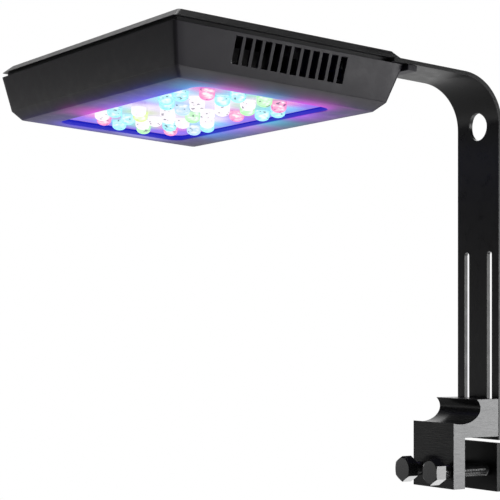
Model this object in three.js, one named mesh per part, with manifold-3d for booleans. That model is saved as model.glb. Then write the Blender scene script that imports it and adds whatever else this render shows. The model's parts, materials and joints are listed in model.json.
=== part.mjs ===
// An LED light for an aquarium: a flat lamp head with two clusters of domed lenses,
// a bent flat-bar arm with two height slots, and a clamp for the rim of a glass tank.
//
// Frame: millimetres, +Z up. The origin is the centre of the clamp's seat, the flat face
// that rests on the tank's rim. -X points over the water, towards the lamp head.
import * as THREE from "three";
import { mergeVertices } from "three/addons/utils/BufferGeometryUtils.js";
import Module from "manifold-3d";

const wasm = await Module();
wasm.setup();

// ---- driving dimensions, mm ----

// lamp head, in its own frame: centred in plan, z = 0 at the lower edge of the cover's rim
const HEAD_X = 191.5;
const HEAD_Y = 300;
const HEAD_TILT = THREE.MathUtils.degToRad(4.41);
const HEAD_END_X = -68.7; // the edge of the head nearest the arm, along X of the whole light
const HEAD_CENTRE_Y = 129.4;
const HEAD_RIM_Z = 277.4;
const CORNER_RADIUS = 2.5;
const WALL = 2.5;

const COVER_RIM_Z = 0.2;
const COVER_TOP_Z = 6.2;
const COVER_INSET = 6.1;
const COVER_TOP_THICKNESS = 3;
const COVER_LIP = { inset: 4, thickness: 1.5, bottomZ: -5, topZ: 3 };

const HOUSING_TOP_Z = -3.2;
const HOUSING_KNEE_Z = -31.5; // where the side walls turn in to meet the bottom face
const HOUSING_BOTTOM_Z = -38.5;
const KNEE_INSET = 7.5;
const BOTTOM_INSET = 14.3;
const BOTTOM_THICKNESS = 3;
const OPENING_X = 112.8;
const OPENING_Y = 240.6;
const OPENING_RADIUS = 12;

const VENT_COUNT = 12;
const VENT_PITCH = 7.93;
const VENT_WIDTH = 5.6;
const VENT_TOP_Z = -5.8;
const VENT_BOTTOM_Z = -24.7;

// stack behind the opening, from the bottom face upwards
const GAP = 0.3;
const GASKET_Z = [-35.2, -33.5];
const LENS_SHEET_Z = [-33.2, -32.2];
const LED_CHIP_Z = -31.9;
const LED_BOARD_Z = [-31, -29.4];
const SINK_BASE_Z = [-29.1, -26.1];
const SINK_FIN_TOP_Z = -16.2;
const BOARD_X = 146;
const BOARD_Y = 260;

// one cluster of lenses: a centre, an inner ring and an outer ring
const CLUSTER_OFFSET_Y = 54;
const OUTER_RING = { radius: 43.5, count: 12, phase: 15 };
const INNER_RING = { radius: 22, count: 6 };
const LENS_RADIUS = 5.8;
const LENS_HEIGHT = 7.6;
const CHIP_SIZE = 3.5;

const FAN_SIZE = 80;
const FAN_DEPTH = 15;
const FAN_BOTTOM_Z = -15.9;
const FAN_BORE_RADIUS = 38;
const ROTOR_RADIUS = 37;
const ROTOR_HUB_RADIUS = 15;
const FAN_HOLE_PITCH = 71.5;

const COVER_POST = { x: 78.5, y: 95, radius: 4.3 };

// arm: flat bar
const BAR_WIDTH = 49.5;
const BAR_THICKNESS = 3;
const BAR_INNER_X = 16.1;
const BAR_BOTTOM_Z = -2.8;
const BEND_INNER_RADIUS = 35;
const BAR_INSIDE_HEAD = 30; // length of bar hidden in the head
const TONGUE = { start: 12, width: 28 }; // the narrower end of the bar, deep in the head
const CABLE_HOLE_RADIUS = 10.5;
const CABLE_HOLE_Z = 236.1;
const SLOT_WIDTH = 5.6;
const SLOT_OFFSET_Y = 13.6;
const SLOT_TOP_Z = 140.4;
const SLOT_BOTTOM_Z = 10.6;

// clamp
const CLAMP_WIDTH = 49.5;
const LEG_FRONT_X = -26.9;
const LEG_THICKNESS = 10.7;
const LEG_BOTTOM_Z = -38.1;
const BRIDGE_TOP_Z = 28.4;
const SCOOP = { x: -19.9, z: 21.7, halfX: 18.3, halfZ: 11.5 };
const ARM_SCREW_Z = 14.2;

const BOLT_OFFSET_Y = 17.2;
const BOLT_Z = -25;
const BOLT_RADIUS = 4.8;
const BOLT_HOLE_RADIUS = 5.15;
const BOLT_FRONT_X = -43.4;
const BOLT_HEAD_LENGTH = 8.9;
const BOLT_HEAD_FLATS = 17;
const BOLT_STUB_RADIUS = 3;

const PLATE_WIDTH = 58;
const PLATE_X = [10.8, 13.8];
const PLATE_Z = [-41.1, -4.6];
const PAD_THICKNESS = 1.1;

// ---- materials: colour, roughness, metalness ----

function finish(color, roughness, metalness) {
  return () => new THREE.MeshStandardMaterial({ color, roughness, metalness });
}
const coverPaint = finish(0x2b2b2d, 0.55, 0.2);
const housingPaint = finish(0x3d3b42, 0.55, 0.2);
const armPaint = finish(0x1e1e20, 0.5, 0.3);
const clampAnodised = finish(0x26262a, 0.4, 0.7);
const blackNylon = finish(0x1b1b1d, 0.45, 0);
const plateSteel = finish(0x151517, 0.5, 0.6);
const rubber = finish(0x0d0d0e, 0.9, 0);
const clearAcrylic = finish(0xdfe8ff, 0.08, 0);
const whiteBoard = finish(0xe9e9ee, 0.5, 0);
const greenBoard = finish(0x1f5a35, 0.5, 0);
const bareAluminium = finish(0xb8bbc0, 0.35, 1);
const fanPlastic = finish(0x202022, 0.5, 0);
const zincSteel = finish(0x8f9399, 0.35, 1);
const blackScrew = finish(0x19191b, 0.4, 0.8);
const wireSheath = finish(0x8c1d18, 0.5, 0);

// ---- geometry helpers ----

const M4_HOLE = 2.35;
const M3_HOLE = 1.85;
const HOLE_SIDES = 8;

const WELD = 1e-4;

// A closed three.js geometry as a manifold-3d solid.
function toSolid(geometry) {
  const source = geometry.index ? geometry.toNonIndexed() : geometry.clone();
  source.deleteAttribute("normal");
  source.deleteAttribute("uv");
  const merged = mergeVertices(source, WELD);
  return new wasm.Manifold(
    new wasm.Mesh({
      numProp: 3,
      vertProperties: merged.attributes.position.array,
      triVerts: new Uint32Array(merged.index.array),
    }),
  );
}

function toGeometry(solid) {
  const { numProp, numVert, vertProperties, triVerts } = solid.getMesh();
  const position = new Float32Array(numVert * 3);
  for (let i = 0; i < numVert; i++) {
    position.set(vertProperties.subarray(i * numProp, i * numProp + 3), i * 3);
  }
  const geometry = new THREE.BufferGeometry();
  geometry.setAttribute("position", new THREE.BufferAttribute(position, 3));
  geometry.setIndex(new THREE.BufferAttribute(new Uint32Array(triVerts), 1));
  return geometry;
}

// All the geometries as one body.
function join(...geometries) {
  const solids = geometries.map(toSolid);
  return toGeometry(solids.reduce((whole, solid) => whole.add(solid)));
}

// The body with every tool taken away.
function cut(body, ...tools) {
  const solids = tools.map(toSolid);
  return toGeometry(solids.reduce((rest, tool) => rest.subtract(tool), toSolid(body)));
}

// A box between two opposite corners.
function block(low, high) {
  const size = high.map((value, i) => value - low[i]);
  const centre = high.map((value, i) => (value + low[i]) / 2);
  return new THREE.BoxGeometry(...size).translate(...centre);
}

// A box centred on x = y = 0 between two heights.
function slab(sizeX, sizeY, [lowZ, highZ]) {
  return block([-sizeX / 2, -sizeY / 2, lowZ], [sizeX / 2, sizeY / 2, highZ]);
}

// A cylinder between two points.
function rod(radius, start, end, sides = 16) {
  const from = new THREE.Vector3(...start);
  const along = new THREE.Vector3(...end).sub(from);
  const turn = new THREE.Quaternion().setFromUnitVectors(
    new THREE.Vector3(0, 1, 0),
    along.clone().normalize(),
  );
  const middle = from.addScaledVector(along, 0.5);
  return new THREE.CylinderGeometry(radius, radius, along.length(), sides)
    .applyQuaternion(turn)
    .translate(middle.x, middle.y, middle.z);
}

// A body of revolution about Z from its [radius, z] outline, bottom to top.
function turned(outline, sides = 10) {
  const points = outline.map(([radius, z]) => new THREE.Vector2(radius, z));
  return new THREE.LatheGeometry(points, sides).rotateX(Math.PI / 2);
}

// A flat outline drawn in X and Z, extruded by width about y = 0.
function extrudeY(shape, width, curveSegments = 12) {
  const options = { depth: width, bevelEnabled: false, curveSegments };
  return new THREE.ExtrudeGeometry(shape, options)
    .rotateX(Math.PI / 2)
    .translate(0, width / 2, 0);
}

// The corners of a rounded rectangle, anticlockwise.
function roundedOutline(halfX, halfY, radius, steps) {
  const points = [];
  for (let corner = 0; corner < 4; corner++) {
    const signX = corner === 0 || corner === 3 ? 1 : -1;
    const signY = corner < 2 ? 1 : -1;
    for (let step = 0; step <= steps; step++) {
      const angle = (Math.PI / 2) * (corner + step / steps);
      points.push([
        signX * (halfX - radius) + radius * Math.cos(angle),
        signY * (halfY - radius) + radius * Math.sin(angle),
      ]);
    }
  }
  return points;
}

// Rounded rectangles [z, halfX, halfY] stacked bottom to top and skinned into one closed body.
function stack(sections, radius, steps = 3) {
  const rings = sections.map(([z, halfX, halfY]) =>
    roundedOutline(halfX, halfY, radius, steps).map(([x, y]) => [x, y, z]),
  );
  const size = rings[0].length;
  const bottomCentre = rings.length * size;
  const topCentre = bottomCentre + 1;
  const index = [];
  for (let k = 0; k < size; k++) {
    const next = (k + 1) % size;
    for (let ring = 0; ring < rings.length - 1; ring++) {
      const low = ring * size;
      const high = low + size;
      index.push(low + k, low + next, high + next, low + k, high + next, high + k);
    }
    const last = (rings.length - 1) * size;
    index.push(bottomCentre, next, k, topCentre, last + k, last + next);
  }
  const ends = [sections[0][0], sections.at(-1)[0]].map((z) => [0, 0, z]);
  const position = new Float32Array([...rings.flat(), ...ends].flat());
  const geometry = new THREE.BufferGeometry();
  geometry.setAttribute("position", new THREE.BufferAttribute(position, 3));
  geometry.setIndex(index);
  return geometry;
}

// A screw pointing down -Z: the underside of its head at z = 0, a recess in the head's top.
function screw({ headRadius, headHeight, shankRadius, length }) {
  const recess = headRadius * 0.45;
  return turned([
    [0, -length],
    [shankRadius, -length],
    [shankRadius, 0],
    [headRadius, 0],
    [headRadius, headHeight],
    [recess, headHeight],
    [recess, headHeight * 0.4],
    [0, headHeight * 0.4],
  ]);
}

// A ring about Z.
function ring(innerRadius, outerRadius, [lowZ, highZ], sides = 12) {
  return turned(
    [
      [innerRadius, lowZ],
      [outerRadius, lowZ],
      [outerRadius, highZ],
      [innerRadius, highZ],
      [innerRadius, lowZ],
    ],
    sides,
  );
}

// A round tube through the given points.
function lead(points, radius) {
  const outline = new THREE.Shape().absarc(0, 0, radius, 0, 2 * Math.PI);
  const extrudePath = new THREE.CatmullRomCurve3(points.map((p) => new THREE.Vector3(...p)));
  return new THREE.ExtrudeGeometry(outline, { steps: 14, curveSegments: 4, extrudePath });
}

const light = new THREE.Group();
const tilted = new THREE.Group();
tilted.position.set(HEAD_END_X, HEAD_CENTRE_Y, HEAD_RIM_Z);
tilted.rotation.y = HEAD_TILT;
const head = new THREE.Group();
head.position.x = -HEAD_X / 2;
tilted.add(head);
light.add(tilted);

function place(parent, name, geometry, material, position = [0, 0, 0]) {
  const mesh = new THREE.Mesh(geometry, material());
  mesh.name = name;
  mesh.position.set(...position);
  parent.add(mesh);
  return mesh;
}

const SIGNS = [-1, 1];
const FOUR_CORNERS = SIGNS.flatMap((x) => SIGNS.map((y) => [x, y]));

// ---- lamp head: cover and housing ----

// Where the arm enters the head, in the head's frame.
const ARM_Y = -HEAD_CENTRE_Y;
const BRACKET = { halfInside: 13, thickness: 4.4, reach: 8.5, x: 64 };
const COVER_PAD = { length: 24, nearSide: 16, farSide: 18 };
const BRACKET_TOP_Z = -BAR_THICKNESS - GAP;
const BRACKET_SCREW = { x: 78, spread: 8 };
const COVER_INNER_Z = COVER_TOP_Z - COVER_TOP_THICKNESS;

function bracketScrewSites() {
  return SIGNS.map((side) => [BRACKET_SCREW.x, ARM_Y + side * BRACKET_SCREW.spread]);
}

function coverPostSites() {
  return FOUR_CORNERS.map(([x, y]) => [x * COVER_POST.x, y * COVER_POST.y]);
}

function topCover() {
  const halfX = HEAD_X / 2;
  const halfY = HEAD_Y / 2;
  const outer = stack(
    [
      [COVER_RIM_Z, halfX, halfY],
      [COVER_TOP_Z, halfX - COVER_INSET, halfY - COVER_INSET],
    ],
    CORNER_RADIUS,
  );
  const below = COVER_RIM_Z - 1;
  const hollow = stack(
    [
      [below, halfX - WALL, halfY - WALL],
      [COVER_INNER_Z, halfX - COVER_INSET, halfY - COVER_INSET],
    ],
    CORNER_RADIUS,
  );
  // a thick pad under the cover, on which the arm is screwed
  const pad = block(
    [BRACKET.x, ARM_Y - COVER_PAD.nearSide, COVER_RIM_Z],
    [BRACKET.x + COVER_PAD.length, ARM_Y + COVER_PAD.farSide, COVER_TOP_Z - 1],
  );
  const counterbores = coverPostSites().flatMap(([x, y]) => [
    rod(4, [x, y, COVER_TOP_Z - 1.7], [x, y, COVER_TOP_Z + 1]),
    rod(M3_HOLE, [x, y, 0], [x, y, COVER_TOP_Z + 1], HOLE_SIDES),
  ]);
  const padHoles = bracketScrewSites().map(([x, y]) =>
    rod(M4_HOLE, [x, y, COVER_RIM_Z - 1], [x, y, COVER_TOP_Z - 2], HOLE_SIDES),
  );
  // a lip round the underside stands behind the shadow gap, and is open where the arm comes in
  const { inset, thickness, bottomZ, topZ } = COVER_LIP;
  const lipX = HEAD_X - 2 * inset;
  const lipY = HEAD_Y - 2 * inset;
  const lip = cut(
    slab(lipX, lipY, [bottomZ, topZ]),
    slab(lipX - 2 * thickness, lipY - 2 * thickness, [bottomZ - 1, topZ + 1]),
    block(
      [halfX - TONGUE.start - 1, -halfY, bottomZ - 1],
      [halfX, ARM_Y + BAR_WIDTH / 2 + 1, topZ + 1],
    ),
  );
  const shell = cut(outer, hollow);
  return cut(join(shell, pad, lip), ...counterbores, ...padHoles);
}

function ventSlots() {
  const first = (-(VENT_COUNT - 1) / 2) * VENT_PITCH;
  return SIGNS.flatMap((side) =>
    Array.from({ length: VENT_COUNT }, (_, i) => {
      const x = first + i * VENT_PITCH;
      const y = side * (HEAD_Y / 2 - KNEE_INSET);
      return block(
        [x - VENT_WIDTH / 2, y - 10, VENT_BOTTOM_Z],
        [x + VENT_WIDTH / 2, y + 10, VENT_TOP_Z],
      );
    }),
  );
}

const SINK_SCREW = { x: 69, y: 118 };

function sinkScrewSites() {
  return FOUR_CORNERS.map(([x, y]) => [x * SINK_SCREW.x, y * SINK_SCREW.y]);
}

const JACK = { z: -18, radius: 6, x: 88 };

function housing() {
  const halfX = HEAD_X / 2;
  const halfY = HEAD_Y / 2;
  const walls = (inset) => [
    [HOUSING_BOTTOM_Z, halfX - BOTTOM_INSET - inset, halfY - BOTTOM_INSET - inset],
    [HOUSING_KNEE_Z, halfX - KNEE_INSET - inset, halfY - KNEE_INSET - inset],
    [HOUSING_TOP_Z, halfX - inset, halfY - inset],
  ];
  const outer = stack(walls(0), CORNER_RADIUS);
  const [bottom, knee, top] = walls(WALL);
  const floorZ = HOUSING_BOTTOM_Z + BOTTOM_THICKNESS;
  const rise = BOTTOM_THICKNESS / (HOUSING_KNEE_Z - HOUSING_BOTTOM_Z);
  const floor = [floorZ, ...[1, 2].map((i) => bottom[i] + (knee[i] - bottom[i]) * rise)];
  const above = [HOUSING_TOP_Z + 2, top[1], top[2]];
  const hollow = stack([floor, knee, top, above], CORNER_RADIUS);
  const opening = stack(
    [
      [HOUSING_BOTTOM_Z - 1, OPENING_X / 2, OPENING_Y / 2],
      [floorZ + 1, OPENING_X / 2, OPENING_Y / 2],
    ],
    OPENING_RADIUS,
    6,
  );
  const shell = cut(outer, hollow, opening);
  const posts = coverPostSites().map(([x, y]) =>
    rod(COVER_POST.radius, [x, y, floorZ - 1], [x, y, HOUSING_TOP_Z]),
  );
  const notch = block(
    [halfX - 8, ARM_Y - BRACKET.halfInside - 1, BRACKET_TOP_Z - BRACKET.thickness - 1],
    [halfX + 2, ARM_Y + BRACKET.halfInside + 1, HOUSING_TOP_Z + 1],
  );
  const postHoles = coverPostSites().map(([x, y]) =>
    rod(M3_HOLE, [x, y, HOUSING_TOP_Z - 10], [x, y, HOUSING_TOP_Z + 1], HOLE_SIDES),
  );
  const floorHoles = sinkScrewSites().map(([x, y]) =>
    rod(M3_HOLE, [x, y, floorZ - 2], [x, y, floorZ + 1], HOLE_SIDES),
  );
  const jackHole = rod(JACK.radius + GAP, [80, 0, JACK.z], [halfX + 2, 0, JACK.z]);
  return cut(join(shell, ...posts), notch, jackHole, ...postHoles, ...floorHoles, ...ventSlots());
}

place(head, "top_cover", topCover(), coverPaint);
place(head, "housing", housing(), housingPaint);

const COVER_SCREW = { headRadius: 3.6, headHeight: 1.6, shankRadius: 1.5, length: 16 };
coverPostSites().forEach(([x, y], i) => {
  const spacer = ring(M3_HOLE, COVER_POST.radius, [HOUSING_TOP_Z + GAP, COVER_INNER_Z - GAP]);
  place(head, `cover_spacer_${i + 1}`, spacer, zincSteel, [x, y, 0]);
  place(head, `cover_screw_${i + 1}`, screw(COVER_SCREW), blackScrew, [x, y, COVER_TOP_Z - 1.6]);
});

// ---- lamp head: lenses, boards and heatsink ----

// The lens centres of one cluster, as [x, y] about the cluster's centre.
function clusterSites(innerPhase) {
  const onRing = ({ radius, count, phase }) =>
    Array.from({ length: count }, (_, i) => {
      const angle = THREE.MathUtils.degToRad(phase + (360 / count) * i);
      return [radius * Math.cos(angle), radius * Math.sin(angle)];
    });
  return [[0, 0], ...onRing({ ...INNER_RING, phase: innerPhase }), ...onRing(OUTER_RING)];
}

// Cluster 1 is the one nearer the arm; its inner ring is turned half a step from cluster 2's.
const CLUSTERS = [
  { name: "lens_panel_1", y: -CLUSTER_OFFSET_Y, innerPhase: 0 },
  { name: "lens_panel_2", y: CLUSTER_OFFSET_Y, innerPhase: 30 },
];

const LENS_SHEET_X = 126;
const LENS_SHEET_Y = 126.5;

// A clear sheet with one dome under each LED.
function lensPanel({ y, innerPhase }) {
  const side = Math.sign(y);
  const middle = (side * (LENS_SHEET_Y + GAP)) / 2;
  const sheet = slab(LENS_SHEET_X, LENS_SHEET_Y, LENS_SHEET_Z).translate(0, middle, 0);
  const top = LENS_SHEET_Z[0] + 0.5;
  const base = LENS_SHEET_Z[0];
  const dome = turned([
    [0, base - LENS_HEIGHT],
    [LENS_RADIUS * 0.7, base - LENS_HEIGHT * 0.86],
    [LENS_RADIUS, base - LENS_HEIGHT * 0.45],
    [LENS_RADIUS, base],
    [LENS_RADIUS, top],
    [0, top],
  ]);
  const domes = clusterSites(innerPhase).map(([dx, dy]) => dome.clone().translate(dx, y + dy, 0));
  return join(sheet, ...domes);
}

function ledBoard() {
  const board = slab(BOARD_X, BOARD_Y, LED_BOARD_Z);
  const half = CHIP_SIZE / 2;
  const chips = CLUSTERS.flatMap(({ y, innerPhase }) =>
    clusterSites(innerPhase).map(([dx, dy]) =>
      block([dx - half, y + dy - half, LED_CHIP_Z], [dx + half, y + dy + half, LED_BOARD_Z[0] + 0.5]),
    ),
  );
  const holes = sinkScrewSites().map(([x, y]) =>
    rod(M3_HOLE, [x, y, LED_BOARD_Z[0] - 1], [x, y, LED_BOARD_Z[1] + 1], HOLE_SIDES),
  );
  return cut(join(board, ...chips), ...holes);
}

function gasket() {
  const frame = slab(BOARD_X, OPENING_Y + 27, GASKET_Z);
  const [low, high] = GASKET_Z;
  const window = stack(
    [
      [low - 1, OPENING_X / 2 + 3, OPENING_Y / 2 + 3],
      [high + 1, OPENING_X / 2 + 3, OPENING_Y / 2 + 3],
    ],
    OPENING_RADIUS,
    4,
  );
  const holes = sinkScrewSites().map(([x, y]) =>
    rod(M3_HOLE, [x, y, low - 1], [x, y, high + 1], HOLE_SIDES),
  );
  return cut(frame, window, ...holes);
}

const STANDOFF_SITES = [-63, -49].flatMap((x) => SIGNS.map((side) => [x, side * 84]));
const SINK_FIN = { count: 11, pitch: 7.9, thickness: 1.6, length: 236 };

function heatsink() {
  const base = slab(BOARD_X, BOARD_Y, SINK_BASE_Z);
  const first = (-(SINK_FIN.count - 1) / 2) * SINK_FIN.pitch;
  const fins = Array.from({ length: SINK_FIN.count }, (_, i) =>
    slab(SINK_FIN.thickness, SINK_FIN.length, [SINK_BASE_Z[1] - 0.5, SINK_FIN_TOP_Z]).translate(
      first + i * SINK_FIN.pitch,
      0,
      0,
    ),
  );
  const holes = sinkScrewSites().map(([x, y]) =>
    rod(M3_HOLE, [x, y, SINK_BASE_Z[0] - 1], [x, y, SINK_BASE_Z[1] + 1], HOLE_SIDES),
  );
  const tapped = STANDOFF_SITES.map(([x, y]) =>
    rod(M3_HOLE, [x, y, SINK_BASE_Z[0] + 1], [x, y, SINK_BASE_Z[1] + 1], HOLE_SIDES),
  );
  return cut(join(base, ...fins), ...holes, ...tapped);
}

CLUSTERS.forEach((cluster) => place(head, cluster.name, lensPanel(cluster), clearAcrylic));
place(head, "led_board", ledBoard(), whiteBoard);
place(head, "panel_gasket", gasket(), rubber);
place(head, "heatsink", heatsink(), bareAluminium);

const SINK_SCREW_SIZE = { headRadius: 2.8, headHeight: 2, shankRadius: 1.5, length: 10.8 };
sinkScrewSites().forEach(([x, y], i) => {
  place(head, `heatsink_screw_${i + 1}`, screw(SINK_SCREW_SIZE), zincSteel, [x, y, SINK_BASE_Z[1] + GAP]);
});

// ---- lamp head: two fans ----

const FAN_POST_RADIUS = 2.5;
const ROTOR_BORE_RADIUS = 2.8;

// A square fan frame about the origin, z = 0 at its lower face.
function fanFrame() {
  const half = FAN_SIZE / 2;
  const body = stack([[0, half, half], [FAN_DEPTH, half, half]], 5);
  const bore = rod(FAN_BORE_RADIUS, [0, 0, -1], [0, 0, FAN_DEPTH + 1], 28);
  const strut = [0, 120, 240].map((degrees) =>
    block([10, -2, 0], [FAN_BORE_RADIUS + 1, 2, 2]).rotateZ(THREE.MathUtils.degToRad(degrees)),
  );
  const motor = rod(ROTOR_HUB_RADIUS, [0, 0, 0], [0, 0, 2]);
  const post = rod(FAN_POST_RADIUS, [0, 0, 1], [0, 0, 9], 10);
  const holes = FOUR_CORNERS.map(([x, y]) => {
    const [cx, cy] = [(x * FAN_HOLE_PITCH) / 2, (y * FAN_HOLE_PITCH) / 2];
    return rod(M3_HOLE, [cx, cy, -1], [cx, cy, FAN_DEPTH + 1], HOLE_SIDES);
  });
  return cut(join(cut(body, bore), ...strut, motor, post), ...holes);
}

// The rotor about the origin, on the frame's post.
function fanRotor() {
  const hub = turned(
    [
      [0, 2.6],
      [ROTOR_HUB_RADIUS, 2.6],
      [ROTOR_HUB_RADIUS, 12.4],
      [ROTOR_HUB_RADIUS - 1.5, 13.4],
      [0, 13.4],
    ],
    16,
  );
  const blades = Array.from({ length: 7 }, (_, i) =>
    block([ROTOR_HUB_RADIUS - 2, -8, -0.8], [ROTOR_RADIUS - 1, 8, 0.8])
      .rotateX(THREE.MathUtils.degToRad(32))
      .translate(0, 0, 8)
      .rotateZ((i * 2 * Math.PI) / 7),
  );
  const bore = rod(ROTOR_BORE_RADIUS, [0, 0, 0], [0, 0, 9.5], 12);
  return cut(join(hub, ...blades), bore);
}

const FAN_SCREW = { headRadius: 2.8, headHeight: 1.8, shankRadius: 1.5, length: 16.5 };
SIGNS.forEach((side, i) => {
  const centre = [0, side * CLUSTER_OFFSET_Y, FAN_BOTTOM_Z];
  place(head, `fan_frame_${i + 1}`, fanFrame(), fanPlastic, centre);
  place(head, `fan_rotor_${i + 1}`, fanRotor(), fanPlastic, centre);
  SIGNS.forEach((end, j) => {
    const offset = (end * FAN_HOLE_PITCH) / 2;
    const at = [offset, centre[1] + offset, FAN_BOTTOM_Z + FAN_DEPTH + GAP];
    place(head, `fan_screw_${2 * i + j + 1}`, screw(FAN_SCREW), blackScrew, at);
  });
});

// ---- lamp head: driver board, power socket and leads ----

const DRIVER = { x: -56, halfX: 14, halfY: 96, z: [-18, -16.4] };
const TRANSFORMER = { x: -1, halfX: 10, halfY: 12, topZ: -5, places: [-40, 40] };
const REGULATOR = { x: -7, halfX: 2, halfY: 4, topZ: -7, places: [-14, 0, 14] };
const CONNECTOR = { x: 4, halfX: 5, halfY: 5, topZ: -10, places: [0] };
const CAPACITOR = { x: 2, radius: 4.5, topZ: -4, places: [-68, -56, 60] };

function driverBoard() {
  const { x, halfX, halfY, z } = DRIVER;
  const board = block([x - halfX, -halfY, z[0]], [x + halfX, halfY, z[1]]);
  const base = z[1] - 0.3;
  const boxes = (kind) =>
    kind.places.map((y) =>
      block(
        [x + kind.x - kind.halfX, y - kind.halfY, base],
        [x + kind.x + kind.halfX, y + kind.halfY, kind.topZ],
      ),
    );
  const components = [TRANSFORMER, REGULATOR, CONNECTOR].flatMap(boxes);
  const cans = CAPACITOR.places.map((y) =>
    rod(CAPACITOR.radius, [x + CAPACITOR.x, y, base], [x + CAPACITOR.x, y, CAPACITOR.topZ]),
  );
  const holes = STANDOFF_SITES.map(([sx, sy]) =>
    rod(M3_HOLE, [sx, sy, z[0] - 1], [sx, sy, z[1] + 1], HOLE_SIDES),
  );
  return cut(join(board, ...components, ...cans), ...holes);
}

place(head, "driver_board", driverBoard(), greenBoard);
STANDOFF_SITES.forEach(([x, y], i) => {
  const outline = [
    [0, SINK_BASE_Z[0] + 1.5],
    [1.5, SINK_BASE_Z[0] + 1.5],
    [1.5, SINK_BASE_Z[1] + GAP],
    [2.7, SINK_BASE_Z[1] + GAP],
    [2.7, DRIVER.z[0] - GAP],
    [1.5, DRIVER.z[0] - GAP],
    [1.5, DRIVER.z[1] + 1],
    [0, DRIVER.z[1] + 1],
  ];
  place(head, `driver_standoff_${i + 1}`, turned(outline, HOLE_SIDES), zincSteel, [x, y, 0]);
});

function powerSocket() {
  const { radius, x, z } = JACK;
  const barrel = join(
    rod(radius, [x - 16, 0, z], [x - 0.5, 0, z], 20),
    rod(radius - 1, [x - 1, 0, z], [x, 0, z], 20),
  );
  const recess = rod(3.2, [x - 9, 0, z], [x + 1, 0, z], 16);
  const pin = rod(1.1, [x - 10, 0, z], [x - 1, 0, z], 12);
  return join(cut(barrel, recess), pin);
}

place(head, "power_socket", powerSocket(), fanPlastic);
const socketNut = cut(
  rod(8.5, [0, 0, 0], [2.5, 0, 0], 6),
  rod(JACK.radius + GAP, [-1, 0, 0], [4, 0, 0], 24),
);
place(head, "power_socket_nut", socketNut, zincSteel, [JACK.x - 8.5, 0, JACK.z]);

const POWER_LEAD_POINTS = [
  [JACK.x - 17.6, 0, JACK.z],
  [62, 0, -13],
  [20, 2, -12],
  [-20, -2, -12],
  [DRIVER.x + 9.4, 0, -12.5],
];
place(head, "power_lead", lead(POWER_LEAD_POINTS, 1.6), wireSheath);

// ---- how the arm is held in the head ----

const END_SCREW = { offsetY: -20, rise: 2.2, radius: 1, length: 6 };

// A jaw under the bar: wide outside the head, narrower where it passes through the housing.
function armBracket() {
  const top = BRACKET_TOP_Z;
  const bottom = top - BRACKET.thickness;
  const edge = HEAD_X / 2;
  const inside = block(
    [BRACKET.x, ARM_Y - BRACKET.halfInside, bottom],
    [edge + 2, ARM_Y + BRACKET.halfInside, top],
  );
  const outside = block(
    [edge + 0.5, ARM_Y - BAR_WIDTH / 2, bottom],
    [edge + BRACKET.reach, ARM_Y + BAR_WIDTH / 2, top],
  );
  const holes = bracketScrewSites().map(([x, y]) =>
    rod(M4_HOLE, [x, y, bottom - 1], [x, y, top + 1], HOLE_SIDES),
  );
  const [screwY, screwZ] = [ARM_Y + END_SCREW.offsetY, bottom + END_SCREW.rise];
  const endHole = rod(END_SCREW.radius + GAP, [edge + 4, screwY, screwZ], [edge + 10, screwY, screwZ], 10);
  return cut(join(inside, outside), ...holes, endHole);
}

place(head, "arm_bracket", armBracket(), housingPaint);
const BRACKET_SCREW_SIZE = { headRadius: 3.6, headHeight: 2.2, shankRadius: 2, length: 11 };
const bracketUnderside = BRACKET_TOP_Z - BRACKET.thickness - GAP;
bracketScrewSites().forEach(([x, y], i) => {
  const upward = screw(BRACKET_SCREW_SIZE).rotateX(Math.PI);
  place(head, `bracket_screw_${i + 1}`, upward, blackScrew, [x, y, bracketUnderside]);
});
const endScrew = rod(END_SCREW.radius, [0, 0, 0], [END_SCREW.length, 0, 0], 10);
place(head, "bracket_end_screw", endScrew, blackScrew, [
  HEAD_X / 2 + 4.6,
  ARM_Y + END_SCREW.offsetY,
  bracketUnderside + GAP + END_SCREW.rise,
]);

// ---- arm ----

// The bar's side view: up the vertical part, round the bend, then along the head's underside.
function barProfile() {
  const outerRadius = BEND_INNER_RADIUS + BAR_THICKNESS;
  const centreX = BAR_INNER_X - BEND_INNER_RADIUS;
  const rimToCentre = centreX - HEAD_END_X;
  const drop = (outerRadius + rimToCentre * Math.sin(HEAD_TILT)) / Math.cos(HEAD_TILT);
  const centreZ = HEAD_RIM_Z - drop;
  const end = Math.PI / 2 - HEAD_TILT;
  const tangent = [-Math.cos(HEAD_TILT), Math.sin(HEAD_TILT)];
  const normal = [Math.sin(HEAD_TILT), Math.cos(HEAD_TILT)];
  const run = rimToCentre / Math.cos(HEAD_TILT) + BAR_INSIDE_HEAD;
  const tip = (radius) => [
    centreX + radius * normal[0] + run * tangent[0],
    centreZ + radius * normal[1] + run * tangent[1],
  ];
  const shape = new THREE.Shape();
  shape.moveTo(BAR_INNER_X, BAR_BOTTOM_Z);
  shape.lineTo(BAR_INNER_X + BAR_THICKNESS, BAR_BOTTOM_Z);
  shape.absarc(centreX, centreZ, outerRadius, 0, end, false);
  shape.lineTo(...tip(outerRadius));
  shape.lineTo(...tip(BEND_INNER_RADIUS));
  shape.absarc(centreX, centreZ, BEND_INNER_RADIUS, end, 0, true);
  return shape;
}

// A vertical slot through the bar, with round ends.
function heightSlot(y) {
  const radius = SLOT_WIDTH / 2;
  const [left, right] = [BAR_INNER_X - 2, BAR_INNER_X + BAR_THICKNESS + 2];
  const [low, high] = [SLOT_BOTTOM_Z + radius, SLOT_TOP_Z - radius];
  return join(
    block([left, y - radius, low], [right, y + radius, high]),
    rod(radius, [left, y, low], [right, y, low], 16),
    rod(radius, [left, y, high], [right, y, high], 16),
  );
}

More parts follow.
